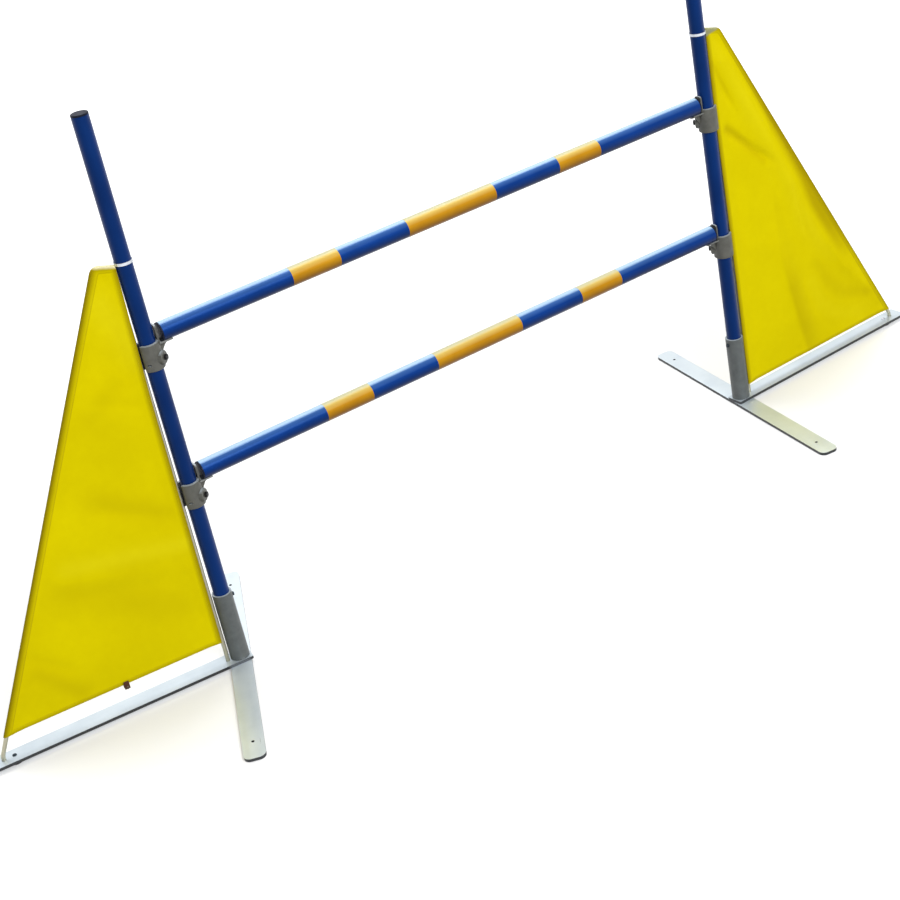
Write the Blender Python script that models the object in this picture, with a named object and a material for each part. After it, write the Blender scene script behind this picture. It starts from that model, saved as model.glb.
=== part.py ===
"""Dog agility hurdle: two wing stands, four jump cups and two jump bars.

Each stand is a pole in a socket on a flat base rail, over a flat cross foot
that swivels on one bolt. A bent rod carries a fabric sleeve as the wing.
Metres, +Z up, origin on the ground in the middle of the hurdle.
"""
import math

import bmesh
import bpy
from mathutils import Matrix, Vector

# Overall sizes
BAR_LENGTH = 1.200
RAIL_OUTER = 0.490
POLE_TOP = 1.074
UPPER_BAR_HEIGHT = 0.676
LOWER_BAR_HEIGHT = 0.402

# Clearances between pieces, and how far a cutter runs past the face it opens
GAP = 0.0003
RUNNING_GAP = 0.0005
ROD_RING_GAP = 0.0004
ROD_SOCKET_GAP = 0.002
HOOD_RING_GAP = 0.0005
BAR_END_GAP = 0.0047
TONGUE_GAP = 0.0009
CUT_PAST = 0.002

# Flat bar stock of the rail and the foot
FLAT_WIDTH = 0.040
FLAT_THICKNESS = 0.006
FLAT_CORNER = 0.003

# Cross foot
FOOT_LENGTH = 0.630
PEG_HOLE_INSET = 0.0485
PEG_HOLE_RADIUS = 0.003

# Base rail's pad, measured inwards from the rail's outer end
PAD_INSET = 0.048
PAD_RADIUS = 0.014
PAD_FLOOR = 0.001
PAD_SCREW_RADIUS = 0.0022
PAD_SCREW_HEAD = 0.0042
PAD_SCREW_DOME = 0.0025
PAD_SCREW_TIP = 0.0015

# Foot bolt
BOLT_RADIUS = 0.004
BOLT_HEAD_RADIUS = 0.008
BOLT_HEAD_HEIGHT = 0.004
BOLT_HEAD_SINK = 0.0008
BOLT_THREAD = 0.009
BOLT_POINT = 0.001

# Socket and pole
POLE_RADIUS = 0.015
POLE_WALL = 0.002
CAP_THICKNESS = 0.003
CAP_STUB = 0.014
SOCKET_WALL = 0.0032
SOCKET_FLOOR = 0.010
SOCKET_TOP = 0.1555
SET_SCREW_DROP = 0.013
SET_SCREW_RADIUS = 0.0025
SET_SCREW_HEAD = 0.004
SET_SCREW_HEAD_HEIGHT = 0.003
TUBE_CHAMFER = 0.0008
PLUG_WALL = 0.002
PLUG_TAPER = 0.001

# Wing frame rod and ring
ROD_RADIUS = 0.004
ROD_TOP_RUN = 0.0305
ROD_FOOT_INSET = 0.028
ROD_BEND = 0.0112
ROD_FOOT_BEND = 0.030
RING_HEIGHT = 0.005
RING_WALL = 0.0012
RING_RISE = 0.0005

# Fabric sleeve
SLEEVE_TOP = {"left": 0.8165, "right": 0.8225}
SLEEVE_TOP_SLOPE = {"left": 0.30, "right": -0.28}
HEM_HEIGHT = {"left": 0.056, "right": 0.036}
SLEEVE_MIDDLE = 0.0048
SLEEVE_WALL = 0.0008
SLEEVE_EASE = 0.0009
SLEEVE_EDGE_GAP = 0.0012
HOOD_DEPTH = 0.021
PASSAGE_MARGIN = 0.010
FOLD_DEPTH = 0.0016

# Hem strap with its press stud
STRAP_PLACE = 0.216
STRAP_WIDTH = 0.010
STRAP_DROP = 0.009
STRAP_LAP = 0.008
STRAP_EASE = 0.0004
STRAP_WALL = 0.0012
STRAP_BEND = 0.002
STRAPPED_SIDES = ("left",)
STUD_RADIUS = 0.0035
STUD_EDGE = 0.001
STUD_HEIGHT = 0.002

# Jump cup, its heights measured from the bar's centre
COLLAR_WALL = 0.0045
COLLAR_TOP = -0.0085
COLLAR_BOTTOM = -0.0575
COLLAR_CHAMFER = 0.001
COLLAR_SLOT = 0.0150
TONGUE_THICKNESS = 0.0034
TONGUE_WIDTH = 0.018
TONGUE_TOP = 0.018
TONGUE_CORNER = 0.005
TONGUE_ROOT = 0.012
CRADLE_HOLD = 0.0185
CRADLE_WALL = 0.0026
CRADLE_ANGLE = 38.0
GUSSET_SHORT = 0.0065
GUSSET_DROP = 0.017
GUSSET_THICKNESS = 0.004
GUSSET_WAIST = 0.007
CUP_OVERLAP = 0.0015
BOSS_RADIUS = 0.0125
BOSS_REACH = 0.0045
BOSS_CHAMFER = 0.0015
BOSS_DROP = 0.039
BOSS_TURN = -45.0
SCREW_RADIUS = 0.003
KNOB_RADIUS = 0.0055
KNOB_HEIGHT = 0.0045
KNOB_LOBES = 6
KNOB_SCALLOP = 0.07
WINDOW_TURN = -129.5
WINDOW_DROP = 0.0445
WINDOW_WIDTH = 0.007
WINDOW_HEIGHT = 0.0028

# Jump bar
BAR_RADIUS = 0.01725
BAR_WALL = 0.002
BAR_CAP = 0.003
BAR_STUB = 0.016
BAND_MIDDLE = 0.098
BAND_INNER = 0.245
BAND_OUTER = 0.345

# How the hurdle stands: turns about the vertical, in degrees
WING_TURN = {"left": 180.0 - 5.95, "right": 1.64}
FOOT_TURN = {"left": -22.95, "right": -7.28}
CUP_TURN = {"left": 0.0, "right": 180.0}
SIDES = ("left", "right")

# Heights and radii that follow from the sizes above
RAIL_BOTTOM = FLAT_THICKNESS + GAP
RAIL_TOP = RAIL_BOTTOM + FLAT_THICKNESS
SOCKET_BOTTOM = RAIL_TOP + GAP
SOCKET_INNER = POLE_RADIUS + GAP
SOCKET_OUTER = SOCKET_INNER + SOCKET_WALL
POLE_BOTTOM = SOCKET_BOTTOM + SOCKET_FLOOR + GAP
SLEEVE_HALF = ROD_RADIUS + SLEEVE_EASE + SLEEVE_WALL
RING_PLACE = SLEEVE_TOP["left"] + RING_RISE

# Places that follow, measured outwards from the pole's axis
PAD_PLACE = RAIL_OUTER - PAD_INSET
ROD_TOP_PLACE = POLE_RADIUS + GAP + RING_WALL + ROD_RING_GAP + ROD_RADIUS
ROD_TOP_OUTER = ROD_TOP_PLACE + ROD_TOP_RUN
ROD_FOOT_PLACE = SOCKET_OUTER + ROD_SOCKET_GAP + ROD_RADIUS
ROD_FOOT_OUTER = RAIL_OUTER - ROD_FOOT_INSET
SLEEVE_TOP_INNER = POLE_RADIUS + GAP + RING_WALL + HOOD_RING_GAP
COLLAR_BORE = POLE_RADIUS + RUNNING_GAP
COLLAR_RADIUS = COLLAR_BORE + COLLAR_WALL
TONGUE_PLACE = POLE_RADIUS + TONGUE_GAP
BAR_END = TONGUE_PLACE + TONGUE_THICKNESS + BAR_END_GAP
POLE_SPACING = BAR_LENGTH + 2 * BAR_END
CRADLE_END = BAR_END + CRADLE_HOLD
GUSSET_REACH = CRADLE_END - GUSSET_SHORT
BOSS_END = COLLAR_RADIUS + BOSS_REACH

# Colours: RGBA, metallic, roughness
FINISHES = {
    "blue_paint": ((0.010, 0.055, 0.260, 1.0), 0.0, 0.32),
    "blue_bar": ((0.012, 0.085, 0.390, 1.0), 0.0, 0.22),
    "golden_band": ((0.640, 0.330, 0.016, 1.0), 0.0, 0.28),
    "black_plastic": ((0.012, 0.012, 0.014, 1.0), 0.0, 0.45),
    "grey_plastic": ((0.150, 0.155, 0.150, 1.0), 0.0, 0.55),
    "grey_steel": ((0.135, 0.140, 0.140, 1.0), 0.3, 0.50),
    "aluminium": ((0.780, 0.800, 0.820, 1.0), 1.0, 0.35),
    "zinc": ((0.600, 0.610, 0.620, 1.0), 1.0, 0.35),
    "yellow_fabric": ((0.700, 0.590, 0.004, 1.0), 0.0, 0.85),
    "dark_strap": ((0.060, 0.030, 0.018, 1.0), 0.0, 0.70),
    "rubber": ((0.015, 0.015, 0.015, 1.0), 0.0, 0.80),
}


def clear_scene():
    for item in list(bpy.data.objects):
        bpy.data.objects.remove(item, do_unlink=True)


def make_material(name):
    colour, metallic, roughness = FINISHES[name]
    material = bpy.data.materials.get(name)
    if material is None:
        material = bpy.data.materials.new(name)
        material.use_nodes = True
        shader = material.node_tree.nodes["Principled BSDF"]
        shader.inputs["Base Color"].default_value = colour
        shader.inputs["Metallic"].default_value = metallic
        shader.inputs["Roughness"].default_value = roughness
        material.diffuse_color = colour
    return material


def mesh_from(bm, name):
    """Write a bmesh to a mesh with its faces turned outwards."""
    bmesh.ops.recalc_face_normals(bm, faces=bm.faces)
    mesh = bpy.data.meshes.new(name)
    bm.to_mesh(mesh)
    bm.free()
    mesh.shade_smooth()
    mesh.set_sharp_from_angle(angle=math.radians(35))
    return mesh


def place(name, data, finish, parent=None, location=(0, 0, 0), turn=0.0):
    """Link data as a named object; turn is about the vertical, in degrees."""
    item = bpy.data.objects.new(name, data)
    bpy.context.scene.collection.objects.link(item)
    if finish and not data.materials:
        data.materials.append(make_material(finish))
    item.parent = parent
    item.location = location
    item.rotation_euler = (0, 0, math.radians(turn))
    return item


def empty(name, parent=None, location=(0, 0, 0), turn=0.0):
    return place(name, None, None, parent, location, turn)


def arc(centre, radius, start, end, steps):
    """Points along an arc in a plane; angles in degrees."""
    points = []
    for i in range(steps + 1):
        angle = math.radians(start + (end - start) * i / steps)
        points.append((centre[0] + radius * math.cos(angle), centre[1] + radius * math.sin(angle)))
    return points


def lathe(profile, steps=32):
    """Turn a closed profile of (radius, height) points about Z."""
    bm = bmesh.new()
    rings = []
    for radius, height in profile:
        if radius == 0:
            rings.append([bm.verts.new((0, 0, height))] * steps)
            continue
        ring = []
        for i in range(steps):
            angle = 2 * math.pi * i / steps
            ring.append(bm.verts.new((radius * math.cos(angle), radius * math.sin(angle), height)))
        rings.append(ring)
    for ring, following in zip(rings, rings[1:] + rings[:1]):
        if ring[0] is ring[1] and following[0] is following[1]:
            continue
        for i in range(steps):
            j = (i + 1) % steps
            corners = []
            for vert in (ring[i], ring[j], following[j], following[i]):
                if vert not in corners:
                    corners.append(vert)
            bm.faces.new(corners)
    return bm


def tube_profile(inner, outer, bottom, top):
    return [(inner, bottom), (outer, bottom), (outer, top), (inner, top)]


def extrude_outline(outline, thickness, holes=(), hole_steps=24):
    """Fill an XY outline round its holes (x, y, radius) and raise it by thickness."""
    bm = bmesh.new()
    loops = [outline]
    for x, y, radius in holes:
        loops.append(arc((x, y), radius, 0, 360, hole_steps)[:-1])
    edges = []
    for loop in loops:
        verts = [bm.verts.new((x, y, 0)) for x, y in loop]
        for vert, following in zip(verts, verts[1:] + verts[:1]):
            edges.append(bm.edges.new((vert, following)))
    bmesh.ops.triangle_fill(bm, use_beauty=True, use_dissolve=False, edges=edges)
    raised = bmesh.ops.extrude_face_region(bm, geom=bm.faces[:])
    verts = [part for part in raised["geom"] if isinstance(part, bmesh.types.BMVert)]
    bmesh.ops.translate(bm, verts=verts, vec=(0, 0, thickness))
    return bm


def stand_up(bm, matrix):
    bmesh.ops.transform(bm, matrix=matrix, verts=bm.verts)
    return bm


def cut_with(item, bm, name):
    """Take the bmesh's shape out of an object with a Boolean modifier."""
    cutter = place(name, mesh_from(bm, name), None, item)
    cutter.hide_render = True
    cutter.display_type = "WIRE"
    modifier = item.modifiers.new(name, "BOOLEAN")
    modifier.operation = "DIFFERENCE"
    modifier.object = cutter
    return cutter


def rounded_bar_outline(x0, x1, half_width, corner, steps=4):
    """A flat bar's outline along X with rounded corners."""
    points = arc((x1 - corner, half_width - corner), corner, 0, 90, steps)
    points += arc((x0 + corner, half_width - corner), corner, 90, 180, steps)
    points += arc((x0 + corner, -half_width + corner), corner, 180, 270, steps)
    points += arc((x1 - corner, -half_width + corner), corner, 270, 360, steps)
    return points


def box_bmesh(low, high):
    bm = bmesh.new()
    bmesh.ops.create_cube(bm, size=1.0)
    low = Vector(low)
    high = Vector(high)
    size = high - low
    bmesh.ops.scale(bm, vec=size, verts=bm.verts)
    bmesh.ops.translate(bm, vec=(low + high) / 2, verts=bm.verts)
    return bm


def rounded_path(corners, bends, steps=7):
    """Points of a path in the XZ plane whose corners are bent to a radius."""
    points = [Vector(corners[0])]
    for before, corner, after, radius in zip(corners, corners[1:], corners[2:], bends):
        corner = Vector(corner)
        back = (Vector(before) - corner).normalized()
        forth = (Vector(after) - corner).normalized()
        half_angle = back.angle(forth) / 2
        centre = corner + (back + forth).normalized() * radius / math.sin(half_angle)
        start = corner + back * radius / math.tan(half_angle) - centre
        end = corner + forth * radius / math.tan(half_angle) - centre
        for i in range(steps + 1):
            points.append(centre + start.slerp(end, i / steps).normalized() * radius)
    points.append(Vector(corners[-1]))
    return points


def swept_rod(name, points, radius):
    """A round rod along a path, with filled ends."""
    curve = bpy.data.curves.new(name, "CURVE")
    curve.dimensions = "3D"
    curve.bevel_depth = radius
    curve.bevel_resolution = 3
    curve.use_fill_caps = True
    curve.render_resolution_u = 0
    spline = curve.splines.new("POLY")
    spline.points.add(len(points) - 1)
    for target, (x, z) in zip(spline.points, points):
        target.co = (x, 0, z, 1)
    return curve


def cross_foot(side, stand):
    """Flat foot: round ends, a peg hole near each end, countersunk for its bolt."""
    half = FOOT_LENGTH / 2
    corner = FLAT_WIDTH * 0.32
    hole = half - PEG_HOLE_INSET
    outline = rounded_bar_outline(-half, half, FLAT_WIDTH / 2, corner, 6)
    holes = [(hole, 0, PEG_HOLE_RADIUS), (-hole, 0, PEG_HOLE_RADIUS)]
    bm = extrude_outline(outline, FLAT_THICKNESS, holes)
    stand_up(bm, Matrix.Rotation(math.radians(90), 4, "Z"))
    mesh = mesh_from(bm, "cross_foot")
    foot = place(side + "_cross_foot", mesh, "aluminium", stand, turn=FOOT_TURN[side])
    shank = BOLT_RADIUS + GAP
    head = BOLT_HEAD_RADIUS + GAP
    cone = [(0, -CUT_PAST), (head + CUT_PAST, -CUT_PAST), (head, BOLT_HEAD_SINK),
            (shank, BOLT_HEAD_SINK + BOLT_HEAD_HEIGHT + GAP), (shank, FLAT_THICKNESS + CUT_PAST),
            (0, FLAT_THICKNESS + CUT_PAST)]
    cut_with(foot, lathe(cone, 24), side + "_foot_countersink")
    return foot


def foot_bolt(side, stand):
    """Countersunk bolt that the foot swivels on, screwed into the socket's floor."""
    head_top = BOLT_HEAD_SINK + BOLT_HEAD_HEIGHT
    end = SOCKET_BOTTOM + BOLT_THREAD
    profile = [(0, BOLT_HEAD_SINK), (BOLT_HEAD_RADIUS, BOLT_HEAD_SINK), (BOLT_RADIUS, head_top),
               (BOLT_RADIUS, end - BOLT_POINT), (BOLT_RADIUS - BOLT_POINT, end), (0, end)]
    return place(side + "_foot_bolt", mesh_from(lathe(profile, 24), "foot_bolt"), "zinc", stand)


def base_rail(side, wing):
    """Flat rail under the wing, drilled for the bolt, the rod's two ends and the pad screw."""
    outline = rounded_bar_outline(-FLAT_WIDTH / 2, RAIL_OUTER, FLAT_WIDTH / 2, FLAT_CORNER)
    holes = [(0, 0, BOLT_RADIUS + GAP), (ROD_FOOT_PLACE, 0, ROD_RADIUS + GAP),
             (ROD_FOOT_OUTER, 0, ROD_RADIUS + GAP), (PAD_PLACE, 0, PAD_SCREW_RADIUS + GAP)]
    bm = extrude_outline(outline, FLAT_THICKNESS, holes, 16)
    rail = place(side + "_base_rail", mesh_from(bm, "base_rail"), "aluminium", wing, (0, 0, RAIL_BOTTOM))
    return rail


def rail_pad(side, wing):
    """Rubber pad that brings the rail's outer end level with the foot."""
    top = RAIL_BOTTOM - GAP
    inner = PAD_SCREW_RADIUS + GAP
    floor = PAD_FLOOR
    profile = [(0, 0), (PAD_RADIUS - floor, 0), (PAD_RADIUS, floor), (PAD_RADIUS, top), (inner, top),
               (inner, floor), (0, floor)]
    mesh = mesh_from(lathe(profile), "rail_pad")
    return place(side + "_rail_pad", mesh, "rubber", wing, (PAD_PLACE, 0, 0))


def pad_screw(side, wing):
    """Dome-headed screw through the rail into its pad."""
    seat = RAIL_TOP + GAP
    dome = []
    for angle in (0, 30, 60):
        turn = math.radians(angle)
        dome.append((PAD_SCREW_HEAD * math.cos(turn), seat + PAD_SCREW_DOME * math.sin(turn)))
    profile = [(0, PAD_SCREW_TIP), (PAD_SCREW_RADIUS, PAD_SCREW_TIP), (PAD_SCREW_RADIUS, seat)]
    profile += dome + [(0, seat + PAD_SCREW_DOME)]
    mesh = mesh_from(lathe(profile, 20), "pad_screw")
    return place(side + "_pad_screw", mesh, "zinc", wing, (PAD_PLACE, 0, 0))


def socket(side, wing):
    """Tube with a drilled floor that holds the pole, with a hole for its set screw."""
    floor = SOCKET_BOTTOM + SOCKET_FLOOR
    profile = [(BOLT_RADIUS + GAP, SOCKET_BOTTOM), (SOCKET_OUTER, SOCKET_BOTTOM),
               (SOCKET_OUTER, SOCKET_TOP - TUBE_CHAMFER), (SOCKET_OUTER - TUBE_CHAMFER, SOCKET_TOP),
               (SOCKET_INNER, SOCKET_TOP), (SOCKET_INNER, floor), (BOLT_RADIUS + GAP, floor)]
    tube = place(side + "_socket", mesh_from(lathe(profile, 40), "socket"), "grey_steel", wing)
    clear = SET_SCREW_RADIUS + GAP
    hole = lathe([(0, 0), (clear, 0), (clear, 2 * SOCKET_OUTER), (0, 2 * SOCKET_OUTER)], 16)
    height = Matrix.Translation((0, 0, SOCKET_TOP - SET_SCREW_DROP))
    stand_up(hole, height @ Matrix.Rotation(-math.pi / 2, 4, "Y"))
    cut_with(tube, hole, side + "_set_screw_hole")
    return tube


def set_screw(side, wing):
    """Short screw in the socket's inner side that locks the pole."""
    tip = POLE_RADIUS + GAP
    seat = SOCKET_OUTER + GAP
    head = SET_SCREW_HEAD
    top = seat + SET_SCREW_HEAD_HEIGHT
    edge = SET_SCREW_HEAD_HEIGHT / 3
    profile = [(0, tip), (SET_SCREW_RADIUS, tip), (SET_SCREW_RADIUS, seat), (head, seat),
               (head, top - edge), (head - edge, top), (0, top)]
    bm = lathe(profile, 16)
    stand_up(bm, Matrix.Rotation(-math.pi / 2, 4, "Y"))
    place_z = SOCKET_TOP - SET_SCREW_DROP
    return place(side + "_set_screw", mesh_from(bm, "set_screw"), "zinc", wing, (0, 0, place_z))


def pole(side, wing):
    top = POLE_TOP - CAP_THICKNESS - GAP
    profile = tube_profile(POLE_RADIUS - POLE_WALL, POLE_RADIUS, POLE_BOTTOM, top)
    return place(side + "_pole", mesh_from(lathe(profile, 40), "pole"), "blue_paint", wing)


def plug_profile(radius, bore, thickness, stub):
    """Profile of a plug whose flange closes a tube: flange below, stub above."""
    chamfer = TUBE_CHAMFER
    fit = bore - GAP
    hollow = fit - PLUG_TAPER - PLUG_WALL
    return [(0, 0), (radius - chamfer, 0), (radius, chamfer), (radius, thickness), (fit, thickness),
            (fit - PLUG_TAPER, thickness + stub), (hollow, thickness + stub), (hollow, thickness),
            (0, thickness)]


def pole_cap(side, wing):
    """Plastic plug in the pole's open top."""
    bm = lathe(plug_profile(POLE_RADIUS, POLE_RADIUS - POLE_WALL, CAP_THICKNESS, CAP_STUB), 28)
    stand_up(bm, Matrix.Rotation(math.pi, 4, "X"))
    return place(side + "_pole_cap", mesh_from(bm, "pole_cap"), "black_plastic", wing, (0, 0, POLE_TOP))


def pole_ring(side, wing):
    """Steel band round the pole that holds the top of the wing's rod."""
    inner = POLE_RADIUS + GAP
    half = RING_HEIGHT / 2
    bm = lathe(tube_profile(inner, inner + RING_WALL, -half, half), 40)
    return place(side + "_pole_ring", mesh_from(bm, "pole_ring"), "zinc", wing, (0, 0, RING_PLACE))


def rod_top(side, x):
    """Height of the rod's top run at a distance from the pole's axis."""
    slope = SLEEVE_TOP_SLOPE[side]
    fabric = SLEEVE_TOP[side] + slope * (x - SLEEVE_TOP_INNER)
    return fabric - SLEEVE_WALL - SLEEVE_EASE - ROD_RADIUS / math.cos(math.atan(slope))


def rod_corners(side):
    """Corners of the rod's path in the wing's plane, from the pole outwards."""
    outer_top = rod_top(side, ROD_TOP_OUTER)
    slant = math.atan2(ROD_FOOT_OUTER - ROD_TOP_OUTER, outer_top - RAIL_TOP)
    bend_height = RAIL_TOP + ROD_FOOT_BEND * math.tan(slant / 2)
    corners = [(ROD_FOOT_PLACE, RAIL_BOTTOM), (ROD_TOP_PLACE, rod_top(side, ROD_TOP_PLACE)),
               (ROD_TOP_OUTER, outer_top), (ROD_FOOT_OUTER, bend_height), (ROD_FOOT_OUTER, RAIL_BOTTOM)]
    return [Vector(corner) for corner in corners]


def frame_rod(side, wing):
    """One bent rod: up beside the pole, over the top and down the wing's slanted edge."""
    path = rounded_path(rod_corners(side), [ROD_BEND, ROD_BEND, ROD_FOOT_BEND])
    curve = swept_rod(side + "_frame_rod", path, ROD_RADIUS)
    return place(side + "_frame_rod", curve, "zinc", wing)


def sleeve_outer_edge(side, level, rise):
    """Where a sleeve section that rises outwards meets the fabric round the rod's outer runs."""
    corners = rod_corners(side)
    back = (corners[1] - corners[2]).normalized()
    down = (corners[3] - corners[2]).normalized()
    bend = corners[2] + (back + down).normalized() * ROD_BEND / math.sin(back.angle(down) / 2)
    upwards = Vector((back.y, -back.x))
    outwards = Vector((-down.y, down.x))
    limit = ROD_BEND + SLEEVE_HALF
    low, high = SLEEVE_TOP_INNER, 2 * ROD_FOOT_OUTER
    for _ in range(40):
        x = (low + high) / 2
        away = Vector((x, level + rise * (x - SLEEVE_TOP_INNER))) - bend
        if away.dot(down) > 0:
            distance = away.dot(outwards)
        elif away.dot(back) > 0:
            distance = away.dot(upwards)
        else:
            distance = away.length
        if distance < limit:
            low = x
        else:
            high = x
    return low


def sleeve_inner_edge(z):
    """Distance of the sleeve's upright edge, just clear of the rod beside it."""
    share = (z - RAIL_BOTTOM) / (RING_PLACE - RAIL_BOTTOM)
    rod = ROD_FOOT_PLACE + (ROD_TOP_PLACE - ROD_FOOT_PLACE) * share
    return rod + ROD_RADIUS + SLEEVE_EDGE_GAP


def sleeve_halves(u, share):
    """Half thickness of the sleeve and its fold at u across and share up, without the wall."""
    opening = min(1.0, max(0.0, (share - 0.55) / 0.3))
    inner_half = SLEEVE_MIDDLE / 2 + (SLEEVE_HALF - SLEEVE_MIDDLE / 2) * opening
    half = inner_half + (SLEEVE_HALF - inner_half) * u ** 2
    fold = FOLD_DEPTH * math.sin(math.pi * u) * (1 - share ** 3) * math.sin(9.0 * u + 5.0 * share + 1.0)
    return inner_half, half, fold


def sleeve_section(side, share, inset, hooded):
    """One closed loop of the sleeve's wall at a share of its height, seen from above."""
    rows = 9
    level = HEM_HEIGHT[side] + share * (SLEEVE_TOP[side] - HEM_HEIGHT[side])
    rise = SLEEVE_TOP_SLOPE[side] * share ** 6
    outer = sleeve_outer_edge(side, level, rise) - inset
    inner = (SLEEVE_TOP_INNER if hooded else sleeve_inner_edge(level)) + inset
    inner_round = sleeve_halves(0, share)[0] - inset
    outer_round = SLEEVE_HALF - inset
    front = []
    back = []
    for i in range(rows):
        u = i / (rows - 1)
        x = inner + inner_round + (outer - outer_round - inner - inner_round) * u
        half, fold = sleeve_halves(u, share)[1:]
        front.append((x, inset - half - fold))
        back.append((x, half - fold - inset))
    outer_end = arc((outer - outer_round, 0), outer_round, -45, 45, 2)
    inner_end = arc((inner + inner_round, 0), inner_round, 135, 225, 2)
    loop = front + outer_end + back[::-1] + inner_end
    return [Vector((x, y, level + rise * (x - SLEEVE_TOP_INNER))) for x, y in loop]


def sleeve(side, wing):
    """Two-layer fabric bag, open at its hem, pulled down over the wing's rod."""
    reach = SLEEVE_TOP[side] - HEM_HEIGHT[side]
    hood = 1 - HOOD_DEPTH / reach
    curve = 2 * ROD_BEND / reach
    shares = [0, 0.07, 0.16, 0.28, 0.40, 0.52, 0.64, 0.76, 0.87, hood - 0.02, hood]
    hood_shares = [hood + 0.003, 1 - curve * 0.6, 1 - curve * 0.3, 1 - curve * 0.12, 1.0]
    lowered = [s - (SLEEVE_WALL / reach if s > 1 - curve * 0.2 else 0) for s in hood_shares]
    outer = [sleeve_section(side, s, 0.0, False) for s in shares]
    outer += [sleeve_section(side, s, 0.0, True) for s in hood_shares]
    inner = [sleeve_section(side, s, SLEEVE_WALL, False) for s in shares]
    inner += [sleeve_section(side, s, SLEEVE_WALL, True) for s in lowered]
    bm = bmesh.new()
    rings = []
    for section in inner[::-1] + outer:
        rings.append([bm.verts.new(point) for point in section])
    for ring, following in zip(rings, rings[1:]):
        count = len(ring)
        for i in range(count):
            j = (i + 1) % count
            bm.faces.new((ring[i], ring[j], following[j], following[i]))
    bm.faces.new(rings[0])
    bm.faces.new(rings[-1])
    bag = place(side + "_sleeve", mesh_from(bm, "sleeve"), "yellow_fabric", wing)
    half = SLEEVE_HALF - SLEEVE_WALL
    low = SLEEVE_TOP[side] - HOOD_DEPTH - PASSAGE_MARGIN
    passage = box_bmesh((SLEEVE_TOP_INNER - PASSAGE_MARGIN, -half, low),
                        (ROD_TOP_PLACE + 2 * ROD_RADIUS, half, rod_top(side, ROD_TOP_PLACE)))
    cut_with(bag, passage, side + "_rod_passage")
    return bag


def strap_faces(side):
    """Outer faces of the strap, front and back, round both fabric layers."""
    level = HEM_HEIGHT[side] + STRAP_LAP / 2
    inner = sleeve_inner_edge(level)
    u = (STRAP_PLACE - inner) / (sleeve_outer_edge(side, level, 0) - inner)
    half, fold = sleeve_halves(u, 0)[1:]
    spare = GAP + STRAP_EASE + STRAP_WALL
    return -half - fold - spare, half - fold + spare


def hem_strap(side, wing):
    """Short strap from the front layer under the hem to the back layer."""
    hem = HEM_HEIGHT[side]
    front, back = strap_faces(side)
    top = hem + STRAP_LAP
    bottom = hem - STRAP_DROP
    bend = STRAP_BEND
    wall = STRAP_WALL
    outline = [(front, top), (front + wall, top), (front + wall, bottom + wall + bend),
               (front + wall + bend, bottom + wall), (back - wall - bend, bottom + wall),
               (back - wall, bottom + wall + bend), (back - wall, top), (back, top), (back, bottom + bend),
               (back - bend, bottom), (front + bend, bottom), (front, bottom + bend)]
    bm = extrude_outline(outline, STRAP_WIDTH)
    upright = Matrix(((0, 0, 1, -STRAP_WIDTH / 2), (1, 0, 0, 0), (0, 1, 0, 0), (0, 0, 0, 1)))
    stand_up(bm, upright)
    return place(side + "_hem_strap", mesh_from(bm, "hem_strap"), "dark_strap", wing, (STRAP_PLACE, 0, 0))


def hem_stud(side, wing):
    """Press stud on the strap's side that faces the viewer."""
    front, back = strap_faces(side)
    profile = [(0, GAP), (STUD_RADIUS, GAP), (STUD_RADIUS, GAP + STUD_EDGE),
               (STUD_RADIUS - STUD_EDGE, GAP + STUD_HEIGHT), (0, GAP + STUD_HEIGHT)]
    bm = lathe(profile, 16)
    facing = 1 if side == "left" else -1
    stand_up(bm, Matrix.Rotation(-facing * math.pi / 2, 4, "X"))
    seat = back if side == "left" else front
    height = HEM_HEIGHT[side] - STRAP_DROP / 2
    return place(side + "_hem_stud", mesh_from(bm, "hem_stud"), "zinc", wing, (STRAP_PLACE, seat, height))


def union_all(parts, cutters, name):
    """Join bmeshes into one body, cut it, and return the result as a mesh."""
    base = place(name + "_base", mesh_from(parts[0], name), None)
    helpers = [base]
    for operation, group in (("UNION", parts[1:]), ("DIFFERENCE", cutters)):
        for bm in group:
            helper = place(name + "_tool", mesh_from(bm, name + "_tool"), None)
            helpers.append(helper)
            modifier = base.modifiers.new(operation, "BOOLEAN")
            modifier.operation = operation
            modifier.object = helper
    graph = bpy.context.evaluated_depsgraph_get()
    mesh = bpy.data.meshes.new_from_object(base.evaluated_get(graph))
    mesh.name = name
    for helper in helpers:
        bpy.data.objects.remove(helper, do_unlink=True)
    return mesh


def radial(turn, height):
    """Matrix that lays a lathed piece's axis along a radius at a height."""
    return (Matrix.Translation((0, 0, height)) @ Matrix.Rotation(math.radians(turn), 4, "Z")
            @ Matrix.Rotation(math.pi / 2, 4, "Y"))


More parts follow.
